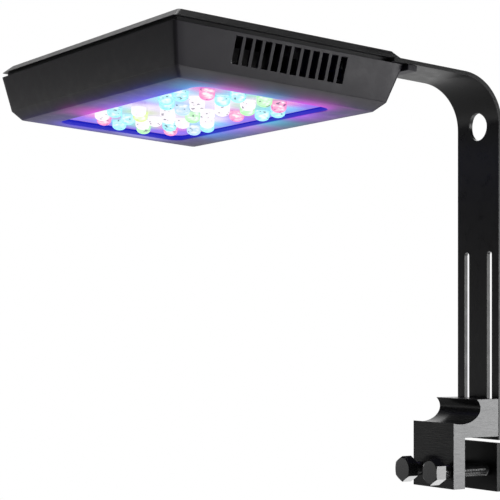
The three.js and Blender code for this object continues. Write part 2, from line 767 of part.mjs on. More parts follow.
function armBar() {
  const bar = extrudeY(barProfile(), BAR_WIDTH, 14);
  const [left, right] = [BAR_INNER_X - 8, BAR_INNER_X + BAR_THICKNESS + 3];
  const cableHole = rod(CABLE_HOLE_RADIUS, [left, 0, CABLE_HOLE_Z], [right, 0, CABLE_HOLE_Z], 32);
  const screwHoles = bracketScrewSites().map(([x, y]) =>
    rod(M4_HOLE, [x, y, -BAR_THICKNESS - 2], [x, y, 2], HOLE_SIDES),
  );
  const tongueSides = SIGNS.map((side) => {
    const edges = [side * TONGUE.width / 2, side * BAR_WIDTH].map((y) => ARM_Y + y);
    return block(
      [0, Math.min(...edges), -BAR_THICKNESS - 2],
      [HEAD_X / 2 - TONGUE.start, Math.max(...edges), 2],
    );
  });
  const headTools = [...screwHoles, ...tongueSides].map((tool) =>
    tool
      .translate(-HEAD_X / 2, 0, 0)
      .rotateY(HEAD_TILT)
      .translate(HEAD_END_X, HEAD_CENTRE_Y, HEAD_RIM_Z),
  );
  return cut(bar, cableHole, ...headTools, ...SIGNS.map((side) => heightSlot(side * SLOT_OFFSET_Y)));
}

place(light, "arm_bar", armBar(), armPaint);

// ---- clamp ----

// The block's side view: a leg in front, a bridge over the rim, and a concave scoop between them.
function blockProfile() {
  const legBack = LEG_FRONT_X + LEG_THICKNESS;
  const back = BAR_INNER_X - GAP;
  const { x, z, halfX, halfZ } = SCOOP;
  const angleAtX = Math.acos((LEG_FRONT_X - x) / halfX);
  const angleAtTop = Math.asin((BRIDGE_TOP_Z - z) / halfZ);
  const shape = new THREE.Shape();
  shape.moveTo(LEG_FRONT_X, LEG_BOTTOM_Z);
  shape.lineTo(legBack, LEG_BOTTOM_Z);
  shape.lineTo(legBack, 0);
  shape.lineTo(back, 0);
  shape.lineTo(back, BRIDGE_TOP_Z);
  shape.absellipse(x, z, halfX, halfZ, angleAtTop, -angleAtX, true);
  return shape;
}

function clampBlock() {
  const body = extrudeY(blockProfile(), CLAMP_WIDTH, 20);
  const [holeStart, holeEnd] = [LEG_FRONT_X - 2, LEG_FRONT_X + LEG_THICKNESS + 2];
  const boltHoles = SIGNS.map((side) => {
    const y = side * BOLT_OFFSET_Y;
    return rod(BOLT_HOLE_RADIUS, [holeStart, y, BOLT_Z], [holeEnd, y, BOLT_Z], 24);
  });
  const screwHoles = SIGNS.map((side) =>
    rod(2.8, [2, side * SLOT_OFFSET_Y, ARM_SCREW_Z], [20, side * SLOT_OFFSET_Y, ARM_SCREW_Z], 16),
  );
  return cut(body, ...boltHoles, ...screwHoles);
}

place(light, "clamp_block", clampBlock(), clampAnodised);

// Two screws and washers behind the bar hold it on the block at the chosen height.
const ARM_SCREW = { headRadius: 4.6, headHeight: 3, shankRadius: 2.5, length: 17 };
const WASHER = { innerRadius: 2.8, outerRadius: 6.5, thickness: 1.2 };
const NAMES = ["near", "far"];
SIGNS.forEach((side, i) => {
  const washerX = BAR_INNER_X + BAR_THICKNESS + GAP;
  const y = side * SLOT_OFFSET_Y;
  const washer = ring(WASHER.innerRadius, WASHER.outerRadius, [0, WASHER.thickness]);
  const at = [washerX, y, ARM_SCREW_Z];
  place(light, `${NAMES[i]}_arm_washer`, washer.rotateY(Math.PI / 2), zincSteel, at);
  const headX = washerX + WASHER.thickness + GAP;
  const sideways = screw(ARM_SCREW).rotateY(Math.PI / 2);
  place(light, `${NAMES[i]}_arm_screw`, sideways, blackScrew, [headX, y, ARM_SCREW_Z]);
});

// ---- clamp bolts and pressure plate ----

const CORNER_UP = Math.PI / 6;

// A hexagon-headed bolt along +X with a stub at its tip that turns in the plate.
function clampBolt() {
  const cornerRadius = BOLT_HEAD_FLATS / 2 / Math.cos(Math.PI / 6);
  const bevel = 0.5;
  const plateFront = PLATE_X[0] - GAP;
  const length = plateFront - BOLT_FRONT_X;
  const hexagon = turned(
    [
      [0, 0],
      [cornerRadius - bevel, 0],
      [cornerRadius, bevel],
      [cornerRadius, BOLT_HEAD_LENGTH],
      [0, BOLT_HEAD_LENGTH],
    ],
    6,
  ).rotateZ(CORNER_UP);
  const shank = turned(
    [
      [0, BOLT_HEAD_LENGTH - 1],
      [BOLT_RADIUS, BOLT_HEAD_LENGTH - 1],
      [BOLT_RADIUS, length - 1],
      [BOLT_RADIUS - 1, length],
      [BOLT_STUB_RADIUS, length],
      [BOLT_STUB_RADIUS, length + 3],
      [0, length + 3],
    ],
    20,
  );
  return join(hexagon, shank).rotateY(Math.PI / 2);
}

const CLIP = { radius: 4.8, thickness: 0.7, recessRadius: 5.4, recessDepth: 1.3 };

function pressurePlate() {
  const plate = block(
    [PLATE_X[0], -PLATE_WIDTH / 2, PLATE_Z[0]],
    [PLATE_X[1], PLATE_WIDTH / 2, PLATE_Z[1]],
  );
  const sockets = SIGNS.flatMap((side) => {
    const y = side * BOLT_OFFSET_Y;
    const recessX = PLATE_X[1] - CLIP.recessDepth;
    return [
      rod(BOLT_STUB_RADIUS + GAP, [PLATE_X[0] - 1, y, BOLT_Z], [PLATE_X[1] + 1, y, BOLT_Z]),
      rod(CLIP.recessRadius, [recessX, y, BOLT_Z], [PLATE_X[1] + 1, y, BOLT_Z]),
    ];
  });
  return cut(plate, ...sockets);
}

place(light, "pressure_plate", pressurePlate(), plateSteel);
const padX = PLATE_X[1] + GAP;
const pad = block(
  [padX, -PLATE_WIDTH / 2, PLATE_Z[0]],
  [padX + PAD_THICKNESS, PLATE_WIDTH / 2, PLATE_Z[1]],
);
place(light, "pressure_pad", pad, rubber);

SIGNS.forEach((side, i) => {
  const y = side * BOLT_OFFSET_Y;
  const bolt = clampBolt();
  place(light, `${NAMES[i]}_clamp_bolt`, bolt, blackNylon, [BOLT_FRONT_X, y, BOLT_Z]);
  const clip = ring(BOLT_STUB_RADIUS + GAP / 2, CLIP.radius, [0, CLIP.thickness]);
  const at = [PLATE_X[1] - CLIP.thickness - 0.2, y, BOLT_Z];
  place(light, `${NAMES[i]}_bolt_clip`, clip.rotateY(Math.PI / 2), zincSteel, at);
});

export default light;
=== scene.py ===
import json
import math

import bmesh
import bpy
import numpy as np
from mathutils import Matrix, Vector


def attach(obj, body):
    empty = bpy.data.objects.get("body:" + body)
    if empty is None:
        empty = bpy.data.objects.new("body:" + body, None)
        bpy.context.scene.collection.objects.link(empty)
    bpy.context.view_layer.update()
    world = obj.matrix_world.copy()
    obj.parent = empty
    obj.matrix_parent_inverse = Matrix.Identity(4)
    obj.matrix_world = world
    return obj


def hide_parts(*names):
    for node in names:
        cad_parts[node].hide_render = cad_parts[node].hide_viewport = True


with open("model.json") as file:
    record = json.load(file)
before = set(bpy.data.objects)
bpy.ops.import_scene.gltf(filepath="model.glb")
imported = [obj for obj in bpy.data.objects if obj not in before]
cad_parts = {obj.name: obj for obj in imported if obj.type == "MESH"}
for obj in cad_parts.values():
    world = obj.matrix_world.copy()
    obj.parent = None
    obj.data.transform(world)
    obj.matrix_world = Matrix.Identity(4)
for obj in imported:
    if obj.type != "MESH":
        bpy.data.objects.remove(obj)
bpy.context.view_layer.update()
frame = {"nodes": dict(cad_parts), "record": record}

NODES = frame["nodes"]
SLOT_OF = {row["node"]: row["material_slot"] for row in frame["record"]["subparts"]}
MM = 0.001
GAP = 0.3  # mm, between neighbouring pieces
SMOOTH_BELOW = 35  # degrees: edges sharper than this stay sharp
SIGNS = (-1, 1)
FOUR_CORNERS = [(x, y) for x in SIGNS for y in SIGNS]

# ---- driving dimensions, mm ----

# lamp head, in its own frame: centred in plan, z = 0 at the lower edge of the cover's rim
HEAD_X = 191.5
HEAD_Y = 300.0
HEAD_TILT = math.radians(4.41)
HEAD_END_X = -68.7
HEAD_CENTRE_Y = 129.4
HEAD_RIM_Z = 277.4
ARM_Y = -HEAD_CENTRE_Y

CORNER_RADIUS = 2.5
WALL = 2.5
HOUSING_TOP_Z = -3.2
HOUSING_KNEE_Z = -31.5
HOUSING_BOTTOM_Z = -38.5
HOUSING_FLOOR_Z = -35.5
KNEE_INSET = 7.5
BOTTOM_INSET = 14.3
OPENING_X = 112.8
OPENING_Y = 240.6
OPENING_RADIUS = 12.0
HOUSING_ROUNDING = 0.55
VENT = {"count": 12, "pitch": 7.93, "width": 5.6, "top": -5.8, "bottom": -24.7}
ARM_NOTCH_WIDTH = 28.0

LENS_SHEET = {"x": 126.0, "y": 126.5, "bottom": -33.2, "top": -32.2}
SHEET_CELLS = 60
LENS_RADIUS = 5.8
LENS_HEIGHT = 7.6
CLUSTER_OFFSET_Y = 54.0
INNER_RING = 22.0
OUTER_RING = 43.5

FAN_BOTTOM_Z = -15.9
FAN_TOP_Z = -0.9
FAN_HOLE_PITCH = 71.5
ROTOR_RADIUS = 36.0
HUB_RADIUS = 15.0
BLADE_COUNT = 7

COVER_POST = (78.5, 95.0)
COVER_TOP_Z = 6.2
SINK_SCREW = (69.0, 118.0)
SINK_TOP_Z = -26.1
STANDOFF_SITES = [(x, side * 84.0) for x in (-63.0, -49.0) for side in SIGNS]
DRIVER_Z = (-18.0, -16.4)
BRACKET_BOTTOM_Z = -7.7
JACK = {"x": 88.0, "z": -18.0, "radius": 6.0}
LEAD_RADIUS = 1.6
COVER_SCREW = {"head_radius": 3.6, "head_height": 1.6, "shank_radius": 1.5, "length": 16, "sunk": True}
SINK_FIXING = {"head_radius": 2.8, "head_height": 2, "shank_radius": 1.5, "length": 10.8}
FAN_FIXING = {"head_radius": 2.8, "head_height": 1.8, "shank_radius": 1.5, "length": 16.5}
BRACKET_FIXING = {"head_radius": 3.6, "head_height": 2.2, "shank_radius": 2, "length": 11}
ARM_FIXING = {"head_radius": 4.6, "head_height": 3, "shank_radius": 2.5, "length": 17}
WASHER = {"inner": 2.8, "outer": 6.5, "thickness": 1.2}

BOLT_FRONT_X = -43.4
BOLT_Z = -25.0
BOLT_OFFSET_Y = 17.2
BOLT_LENGTH = 53.9
BOLT_RADIUS = 4.8
BOLT_PITCH = 1.5
BOLT_HEAD_LENGTH = 8.9
BOLT_HEAD_FLATS = 17.0
BOLT_STUB_RADIUS = 3.0
BOLT_STUB_LENGTH = 3.0
CLIP_X = 12.9
ARM_SCREW_Z = 14.2
ARM_SLOT_Y = 13.6
BAR_BACK_X = 19.1
CLAMP_SIDE_Y = 24.75

HEAD = (
    Matrix.Translation((HEAD_END_X, HEAD_CENTRE_Y, HEAD_RIM_Z))
    @ Matrix.Rotation(HEAD_TILT, 4, "Y")
    @ Matrix.Translation((-HEAD_X / 2, 0, 0))
)
UPRIGHT = Matrix.Identity(4)
ALONG_X = Matrix.Rotation(math.radians(90), 4, "Y")


def at(x, y, z, place=UPRIGHT, turn=UPRIGHT):
    """Places a piece that was built about the origin."""
    return place @ Matrix.Translation((x, y, z)) @ turn


# ---- the colours of the LEDs ----

LED_COLOURS = {
    "W": (1.0, 0.93, 1.0),
    "C": (0.25, 0.9, 1.0),
    "B": (0.45, 0.75, 1.0),
    "P": (1.0, 0.16, 0.55),
    "G": (0.42, 1.0, 0.42),
    "Y": (0.75, 1.0, 0.2),
}
# each cluster: the side it is on, its centre, its inner ring and its outer ring, anticlockwise
CLUSTERS = [
    {"name": "1", "side": -1, "phase": 0, "inner": "GWWWCW", "outer": "CPWBCCCPCGPC"},
    {"name": "2", "side": 1, "phase": 30, "inner": "CWCYWW", "outer": "BPGCPWCWWGWC"},
]
# painted coloured light on the black frame round the opening: x, y in the head's frame, and the colour
SPILL_PATCHES = [
    (-60, 43, (1.0, 0.02, 0.75)),
    (-60, 5, (0.35, 0.1, 0.9)),
    (-60, -37, (0.12, 0.1, 1.0)),
    (-60, -78, (0.04, 0.12, 1.0)),
    (-57, -116, (0.0, 0.5, 0.9)),
    (-32, -124, (1.0, 0.02, 0.6)),
    (-8, -124, (0.0, 0.5, 0.85)),
    (31, -124, (0.95, 0.02, 0.85)),
    (66, -73, (0.5, 0.08, 0.95)),
    (66, -29, (0.0, 0.65, 0.8)),
    (66, 1, (0.6, 0.3, 0.95)),
    (66, 30, (0.2, 0.2, 0.9)),
    (66, 59, (0.02, 0.3, 0.9)),
    (-33, 126, (0.1, 0.08, 0.8)),
    (20, 126, (0.35, 0.35, 0.9)),
]
SPILL_REACH = 18
SPILL_POWER = 0.85
SPILL_WIDTH = 16
CHAMFER_SPILL_HEIGHT = 2.2
WALL_SPILL_POWER = 0.06
SHEET_REACH = 13
# painted light: the LEDs' blue on the opening's walls and the gasket, and the violet spill on the frame
PAINTED_BLUE_LIGHT = (0.008, 0.012, 0.48)
PANEL_VIOLET = (0.36, 0.22, 0.84)
PAINTED_VIOLET_SPILL = (0.03, 0.01, 0.2)
AMBIENT_SHARE = 0.35


def lens_sites(cluster):
    """The x, y and colour letter of each lens of a cluster, in the head's frame."""
    middle = cluster["side"] * CLUSTER_OFFSET_Y
    sites = [(0.0, middle, "W")]
    for radius, letters, phase in (
        (INNER_RING, cluster["inner"], cluster["phase"]),
        (OUTER_RING, cluster["outer"], 15),
    ):
        for index, letter in enumerate(letters):
            angle = math.radians(phase + 360 / len(letters) * index)
            sites.append((radius * math.cos(angle), middle + radius * math.sin(angle), letter))
    return sites


ALL_LENSES = [site for cluster in CLUSTERS for site in lens_sites(cluster)]
LENS_LIGHTS = [(x, y, LED_COLOURS[letter]) for x, y, letter in ALL_LENSES]


def glow_at(x, y, reach, lights):
    """The nearby lights' colour at a point of the underside, and how much they outshine the rest."""
    total = Vector((0, 0, 0))
    weight = AMBIENT_SHARE
    for light_x, light_y, colour in lights:
        distance = math.hypot(x - light_x, y - light_y)
        share = math.exp(-((distance / reach) ** 2))
        total += Vector(colour) * share
        weight += share
    return total / weight, 1 - AMBIENT_SHARE / weight


# ---- shader graphs ----


class Shader:
    """A material and short calls that add nodes to it."""

    def __init__(self, name):
        self.material = bpy.data.materials.new(name)
        self.material.use_nodes = True
        tree = self.material.node_tree
        self.nodes, self.links = tree.nodes, tree.links
        self.nodes.clear()
        self.place = self.node("TexCoord").outputs["Object"]
        self.normal = self.node("NewGeometry").outputs["Normal"]

    def node(self, kind, inputs=None, **settings):
        made = self.nodes.new("ShaderNode" + kind)
        for key, value in settings.items():
            setattr(made, key, value)
        for key, value in (inputs or {}).items():
            self.feed(made.inputs[key], value)
        return made

    def feed(self, socket, value):
        if isinstance(value, bpy.types.NodeSocket):
            self.links.new(value, socket)
        else:
            socket.default_value = value

    def math(self, operation, first, second=0.0, clamp=False):
        inputs = {0: first, 1: second}
        return self.node("Math", inputs, operation=operation, use_clamp=clamp).outputs[0]

    def noise(self, size, detail=2.0, vector=None):
        """Noise whose features are about size millimetres wide."""
        inputs = {"Vector": vector or self.place, "Scale": 1 / (size * MM), "Detail": detail}
        return self.node("TexNoise", inputs).outputs["Fac"]

    def stretched(self, x, y, z):
        return self.node("Mapping", {"Vector": self.place, "Scale": (x, y, z)}).outputs[0]

    def remap(self, value, low, high, to_low=0.0, to_high=1.0):
        inputs = {0: value, 1: low, 2: high, 3: to_low, 4: to_high}
        return self.node("MapRange", inputs, clamp=True).outputs[0]

    def mix(self, share, first, second, blend="MIX"):
        inputs = {0: share, 6: first, 7: second}
        return self.node("Mix", inputs, data_type="RGBA", blend_type=blend).outputs[2]

    def scaled(self, colour, share):
        """A colour made darker or lighter by a number or a socket."""
        return self.mix(1.0, colour, self.grey(share), "MULTIPLY")

    def grey(self, value):
        inputs = {0: value, 1: value, 2: value}
        return self.node("CombineColor", inputs).outputs[0]

    def dot(self, vector, direction):
        inputs = {0: vector, 1: direction}
        return self.node("VectorMath", inputs, operation="DOT_PRODUCT").outputs["Value"]

    def edges(self, radius):
        """1 on edges sharper than the given radius, 0 on flat faces."""
        rounded = self.node("Bevel", {"Radius": radius * MM}, samples=4).outputs[0]
        return self.remap(self.dot(rounded, self.normal), 0.9, 0.995, 1.0, 0.0)

    def bump(self, height, depth, strength=1.0):
        inputs = {"Height": height, "Distance": depth * MM, "Strength": strength}
        return self.node("Bump", inputs).outputs[0]

    def done(self, **inputs):
        surface = self.node("BsdfPrincipled")
        for key, value in inputs.items():
            self.feed(surface.inputs[key.replace("_", " ")], value)
        output = self.node("OutputMaterial")
        self.links.new(surface.outputs[0], output.inputs["Surface"])
        return self.material


def rgb(*channels):
    return (*channels, 1.0)


def coated(name, colour, roughness, grain=0.45, relief=0.012, wear=0.25, glow=False, **others):
    """Paint or moulded plastic: fine grain, soft cloudiness, and edges rubbed a little paler."""
    shader = Shader(name)
    cloud = shader.remap(shader.noise(38, 3), 0.3, 0.7, 0.86, 1.14)
    speck = shader.noise(grain, 3)
    scuffs = shader.remap(shader.noise(9, 5), 0.45, 0.75, 0.0, 1.0)
    tone = shader.math("MULTIPLY", cloud, shader.remap(speck, 0.3, 0.7, 0.92, 1.08))
    rubbed = shader.math("MULTIPLY", shader.edges(0.5), wear)
    body = shader.mix(rubbed, shader.scaled(colour, tone), rgb(0.2, 0.2, 0.21))
    grip = shader.math("ADD", shader.remap(speck, 0.3, 0.7, -0.05, 0.05), roughness)
    grip = shader.math("SUBTRACT", grip, shader.math("MULTIPLY", scuffs, 0.07), clamp=True)
    # painted light: the glow colour stored on the housing is emitted by its paint
    if glow:
        light = shader.node("Attribute", attribute_name="glow").outputs["Color"]
        others["Emission_Color"] = light
        others["Emission_Strength"] = 1.0
    return shader.done(
        Base_Color=body, Roughness=grip, Normal=shader.bump(speck, relief, 0.6), **others
    )


def brushed(name, colour, roughness, grain, metallic=1.0, relief=0.01, wear=0.2):
    """Metal with fine parallel lines; grain gives how far the pattern is squeezed on each axis."""
    shader = Shader(name)
    lines = shader.noise(1.0, 4, shader.stretched(*grain))
    cloud = shader.remap(shader.noise(25, 3), 0.3, 0.7, 0.9, 1.1)
    tone = shader.math("MULTIPLY", cloud, shader.remap(lines, 0.3, 0.7, 0.88, 1.12))
    rubbed = shader.math("MULTIPLY", shader.edges(0.4), wear)
    body = shader.mix(rubbed, shader.scaled(colour, tone), rgb(0.6, 0.6, 0.62))
    grip = shader.remap(lines, 0.25, 0.75, roughness - 0.08, roughness + 0.1)
    return shader.done(
        Base_Color=body, Metallic=metallic, Roughness=grip, Normal=shader.bump(lines, relief, 0.5)
    )


def anodised(name):
    """Black anodised extrusion: drawn lines along Y, and sawn ends that are a little paler."""
    shader = Shader(name)
    drawn = shader.noise(1.0, 4, shader.stretched(2.2, 0.08, 2.2))
    sawn = shader.noise(1.0, 3, shader.stretched(0.15, 1.0, 2.5))
    spot = shader.node("NewGeometry").outputs["Position"]
    aside = shader.math("ABSOLUTE", shader.dot(spot, (0, 1, 0)))
    end = shader.remap(aside, (CLAMP_SIDE_Y - 0.5) * MM, (CLAMP_SIDE_Y - 0.2) * MM)
    lines = shader.node("Mix", {0: end, 2: drawn, 3: sawn}, data_type="FLOAT").outputs[0]
    cloud = shader.remap(shader.noise(16, 3), 0.3, 0.7, 0.9, 1.1)
    tone = shader.math("MULTIPLY", cloud, shader.remap(lines, 0.3, 0.7, 0.9, 1.1))
    colour = shader.mix(end, rgb(0.008, 0.008, 0.009), rgb(0.06, 0.062, 0.069))
    rubbed = shader.math("MULTIPLY", shader.edges(0.5), 0.3)
    body = shader.mix(rubbed, shader.scaled(colour, tone), rgb(0.3, 0.3, 0.31))
    grip = shader.remap(lines, 0.25, 0.75, 0.22, 0.34)
    return shader.done(
        Base_Color=body,
        Roughness=grip,
        Specular_IOR_Level=shader.remap(end, 0, 1, 0.5, 0.9),
        Normal=shader.bump(lines, 0.01, 0.4),
    )


def head_height(shader):
    """How far a point lies above the cover's rim, in metres, along the head's own upright."""
    upright = HEAD.to_3x3() @ Vector((0, 0, 1))
    origin = (HEAD @ Vector((0, 0, 0))) * MM
    return shader.math("SUBTRACT", shader.dot(shader.place, upright), origin.dot(upright))


def circuit_board(name, mask, part, part_from, part_above):
    """A board with copper tracks under its mask; what stands off the board has its own colour."""
    shader = Shader(name)
    height = head_height(shader)
    step = (part_from * MM, (part_from + (0.1 if part_above else -0.1)) * MM)
    mounted = shader.remap(height, *step)
    cells = shader.node(
        "TexVoronoi",
        {"Vector": shader.place, "Scale": 1 / (4 * MM)},
        feature="DISTANCE_TO_EDGE",
        distance="CHEBYCHEV",
    ).outputs["Distance"]
    track = shader.remap(cells, 0.04, 0.1)
    board = shader.mix(track, shader.scaled(mask, 1.25), mask)
    body = shader.mix(mounted, board, part)
    cloud = shader.remap(shader.noise(12, 3), 0.3, 0.7, 0.88, 1.12)
    grip = shader.remap(shader.noise(1.2, 3), 0.3, 0.7, 0.34, 0.5)
    return shader.done(
        Base_Color=shader.scaled(body, cloud), Roughness=grip, Normal=shader.bump(track, 0.02, 0.4)
    )


def seen_and_given(shader, seen, given):
    """An emission strength: one value for the camera, a lower one for what is lit by it."""
    camera = shader.node("LightPath").outputs["Is Camera Ray"]
    return shader.remap(camera, 0.0, 1.0, given, seen)


def lit_lens(name):
    """A clear lens over a lit LED: pale in the middle, its own colour towards the rim, with dark specks of
    painted shadow from the chips.
    """
    shader = Shader(name)
    tint = shader.node("Attribute", attribute_name="tint").outputs["Color"]
    facing = shader.node("LayerWeight", {"Blend": 0.42}).outputs["Facing"]
    rim = shader.remap(facing, 0.1, 0.75)
    marks = shader.noise(4.2, 1, shader.stretched(1.0, 1.0, 2.2))
    # painted shade: dark specks that stand in for the shadows of the LED chips
    dark = shader.remap(marks, 0.66, 0.7)
    core = shader.mix(shader.remap(marks, 0.35, 0.55), rgb(0.95, 1, 1), tint)
    light = shader.mix(rim, shader.mix(0.35, core, rgb(1, 1, 1)), tint)
    light = shader.mix(shader.math("MULTIPLY", dark, 0.75), light, rgb(0.09, 0.07, 0.16))
    return shader.done(
        Base_Color=rgb(0.04, 0.04, 0.05),
        Roughness=shader.remap(marks, 0.3, 0.7, 0.05, 0.14),
        Emission_Color=light,
        Emission_Strength=seen_and_given(shader, 1.0, 0.3),
        Normal=shader.bump(marks, 0.05, 0.5),
    )


def lit_sheet(name):
    """The clear sheet between the lenses, lit from inside."""
    shader = Shader(name)
    light = shader.node("Attribute", attribute_name="glow").outputs["Color"]
    ripple = shader.noise(5, 3)
    return shader.done(
        Base_Color=rgb(0.03, 0.025, 0.05),
        Roughness=shader.remap(ripple, 0.3, 0.7, 0.2, 0.3),
        Emission_Color=shader.scaled(light, shader.remap(ripple, 0.3, 0.7, 0.9, 1.1)),
        Emission_Strength=seen_and_given(shader, 0.92, 0.3),
        Normal=shader.bump(ripple, 0.05, 0.3),
    )


def lit_rubber(name):
    """The gasket: matt rubber, whose upright faces round the opening emit painted blue light."""
    shader = Shader(name)
    grain = shader.noise(0.5, 3)
    upright = HEAD.to_3x3() @ Vector((0, 0, 1))
    level = shader.math("ABSOLUTE", shader.dot(shader.normal, upright))
    # painted light: how much of the painted blue each face emits, most on upright faces
    painted_blue_share = shader.remap(level, 0.3, 0.6, 1.0, 0.0)
    return shader.done(
        Base_Color=shader.scaled(rgb(0.012, 0.012, 0.013), shader.remap(grain, 0.3, 0.7, 0.8, 1.2)),
        Roughness=shader.remap(grain, 0.3, 0.7, 0.75, 0.9),
        Emission_Color=shader.scaled(rgb(*PAINTED_BLUE_LIGHT), painted_blue_share),
        Emission_Strength=1.0,
        Normal=shader.bump(grain, 0.03, 0.6),
    )


LOOKS = {
    "cover_paint": coated("cover_paint", rgb(0.021, 0.021, 0.023), 0.42, wear=0.2),
    "housing_paint": coated("housing_paint", rgb(0.026, 0.023, 0.032), 0.44, wear=0.3, glow=True),
    "arm_paint": coated("arm_paint", rgb(0.012, 0.012, 0.013), 0.34, grain=0.3, relief=0.006),
    "clamp_anodised": anodised("clamp_anodised"),
    "black_nylon": coated(
        "black_nylon", rgb(0.013, 0.013, 0.014), 0.16, grain=0.9, relief=0.006,
        Specular_IOR_Level=0.8, Coat_Weight=0.35,
    ),
    "plate_steel": coated(
        "plate_steel", rgb(0.005, 0.005, 0.006), 0.38, grain=0.35, wear=0.3, Specular_IOR_Level=0.3
    ),
    "rubber": coated("rubber", rgb(0.012, 0.012, 0.013), 0.8, grain=0.5, relief=0.03, wear=0.1),
    "clear_acrylic": lit_lens("clear_acrylic"),
    "white_board": circuit_board("white_board", rgb(0.75, 0.75, 0.78), rgb(0.8, 0.6, 0.12), -31.05, False),
    "green_board": circuit_board("green_board", rgb(0.02, 0.12, 0.045), rgb(0.03, 0.03, 0.035), -16.3, True),
    "bare_aluminium": brushed("bare_aluminium", rgb(0.62, 0.63, 0.65), 0.32, (2.5, 0.06, 2.5)),
    "fan_plastic": coated("fan_plastic", rgb(0.022, 0.022, 0.024), 0.38, grain=0.8, relief=0.01),
    "zinc_steel": brushed("zinc_steel", rgb(0.5, 0.52, 0.55), 0.28, (1.5, 1.5, 0.4)),
    "black_screw": brushed("black_screw", rgb(0.035, 0.035, 0.04), 0.3, (1.2, 1.2, 0.5), wear=0.35),
    "wire_sheath": coated("wire_sheath", rgb(0.28, 0.012, 0.01), 0.4, grain=0.7, wear=0.0),
}
SHEET_LOOK = lit_sheet("lit_sheet")
GASKET_LOOK = lit_rubber("lit_rubber")


# ---- mesh helpers; everything here is in millimetres ----


def eased(points, radius, steps=3, closed=False):
    """The same outline with a small rounding in place of each corner."""
    corners = [np.array(point, float) for point in points]
    result = []
    for index, here in enumerate(corners):
        if not closed and index in (0, len(corners) - 1):
            result.append(here)
            continue
        ends = []
        for other in (corners[index - 1], corners[(index + 1) % len(corners)]):
            reach = np.linalg.norm(other - here)
            ends.append(here + (other - here) * min(radius / reach, 0.45))
        for share in np.linspace(0, 1, steps + 1):
            first = ends[0] + (here - ends[0]) * share
            second = here + (ends[1] - here) * share
            result.append(first + (second - first) * share)
    return result


def skin(bm, rings, closed=False):
    """Joins rings of points into a surface. A ring of one point closes an end."""
    made = [[bm.verts.new(point) for point in ring] for ring in rings]
    pairs = list(zip(made, made[1:]))
    if closed:
        pairs.append((made[-1], made[0]))
    for low, high in pairs:
        count = max(len(low), len(high))
        for k in range(count):
            n = (k + 1) % count
            corners = [low[k % len(low)], low[n % len(low)], high[n % len(high)], high[k % len(high)]]
            bm.faces.new(list(dict.fromkeys(corners)))
    return made


def circle(radius, z, segments=48, sides=0):
    """A ring of points about Z; with sides, it is a polygon with that corner radius."""
    points = []
    for k in range(segments):
        angle = 2 * math.pi * k / segments
        reach = radius
        if sides:
            half = math.pi / sides
            reach = radius * math.cos(half) / math.cos(angle % (2 * half) - half)
        points.append((reach * math.cos(angle), reach * math.sin(angle), z))
    return points


def turned(bm, outline, segments=48):
    """A body of revolution from [radius, z] pairs; a third number makes that ring a polygon."""
    rings = []
    for radius, z, *sides in outline:
        ring = circle(radius, z, segments, *sides) if radius > 0 else [(0, 0, z)]
        rings.append(ring)
    skin(bm, rings)
    return bm


def finish_mesh(name, bm, place, sharp=SMOOTH_BELOW):
    """The bmesh as an object in metres, shaded smooth except across sharp edges."""
    bmesh.ops.recalc_face_normals(bm, faces=bm.faces)
    bm.transform(Matrix.Scale(MM, 4) @ place)
    mesh = bpy.data.meshes.new(name)
    bm.to_mesh(mesh)
    bm.free()
    mesh.polygons.foreach_set("use_smooth", [True] * len(mesh.polygons))
    mesh.set_sharp_from_angle(angle=math.radians(sharp))
    obj = bpy.data.objects.new(name, mesh)
    bpy.context.scene.collection.objects.link(obj)
    return obj


def piece(name, bm, body, slot, place=UPRIGHT, replaced=(), look=None, sharp=SMOOTH_BELOW):
    """A finished piece that rides on a body and stands for the given CAD nodes."""
    obj = finish_mesh(name, bm, place, sharp)
    obj.data.materials.append(look or LOOKS[slot])
    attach(obj, body)
    if replaced:
        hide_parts(*replaced)
    return obj


def box(bm, low, high):
    """A plain box added to the bmesh; used as a cutter or inside a larger body."""
    made = bmesh.ops.create_cube(bm, size=1)["verts"]
    size = [b - a for a, b in zip(low, high)]
    centre = [(a + b) / 2 for a, b in zip(low, high)]
    bmesh.ops.scale(bm, vec=size, verts=made)
    bmesh.ops.translate(bm, vec=centre, verts=made)


def carve(obj, cutter, operation="DIFFERENCE"):
    """Applies a boolean with another object, and removes that object."""
    modifier = obj.modifiers.new("carve", "BOOLEAN")
    modifier.operation = operation
    modifier.object = cutter
    modifier.solver = "MANIFOLD"
    bpy.context.view_layer.update()
    graph = bpy.context.evaluated_depsgraph_get()
    carved = bpy.data.meshes.new_from_object(obj.evaluated_get(graph))
    obj.modifiers.clear()
    obj.data = carved
    bpy.data.objects.remove(cutter)


def paint(obj, attribute, colour_of):
    """Stores a colour for each vertex, from its place in the head's frame in millimetres."""
    to_head = HEAD.inverted()
    layer = obj.data.attributes.new(attribute, "FLOAT_COLOR", "POINT")
    for index, vertex in enumerate(obj.data.vertices):
        colour = colour_of(to_head @ (vertex.co / MM))
        layer.data[index].color = (*colour, 1.0)


# ---- CAD nodes that keep their shape ----


def refine(node, width, sharp=SMOOTH_BELOW, look=None):
    """Gives a CAD node its material and small rounded edges."""
    obj = NODES[node]
    obj.data.materials.clear()
    obj.data.materials.append(look or LOOKS[SLOT_OF[node]])
    custom = obj.data.attributes.get("custom_normal")
    if custom:
        obj.data.attributes.remove(custom)
    obj.data.polygons.foreach_set("use_smooth", [True] * len(obj.data.polygons))
    weld = obj.modifiers.new("weld", "WELD")
    weld.merge_threshold = 0.002 * MM
    flat = obj.modifiers.new("flat", "DECIMATE")
    flat.decimate_type = "DISSOLVE"
    flat.angle_limit = math.radians(0.5)
    bevel = obj.modifiers.new("edges", "BEVEL")
    bevel.width = width * MM
    bevel.segments = 3
    bevel.limit_method = "ANGLE"
    bevel.angle_limit = math.radians(sharp)
    bevel.use_clamp_overlap = True
    obj.modifiers.new("normals", "WEIGHTED_NORMAL").keep_sharp = True


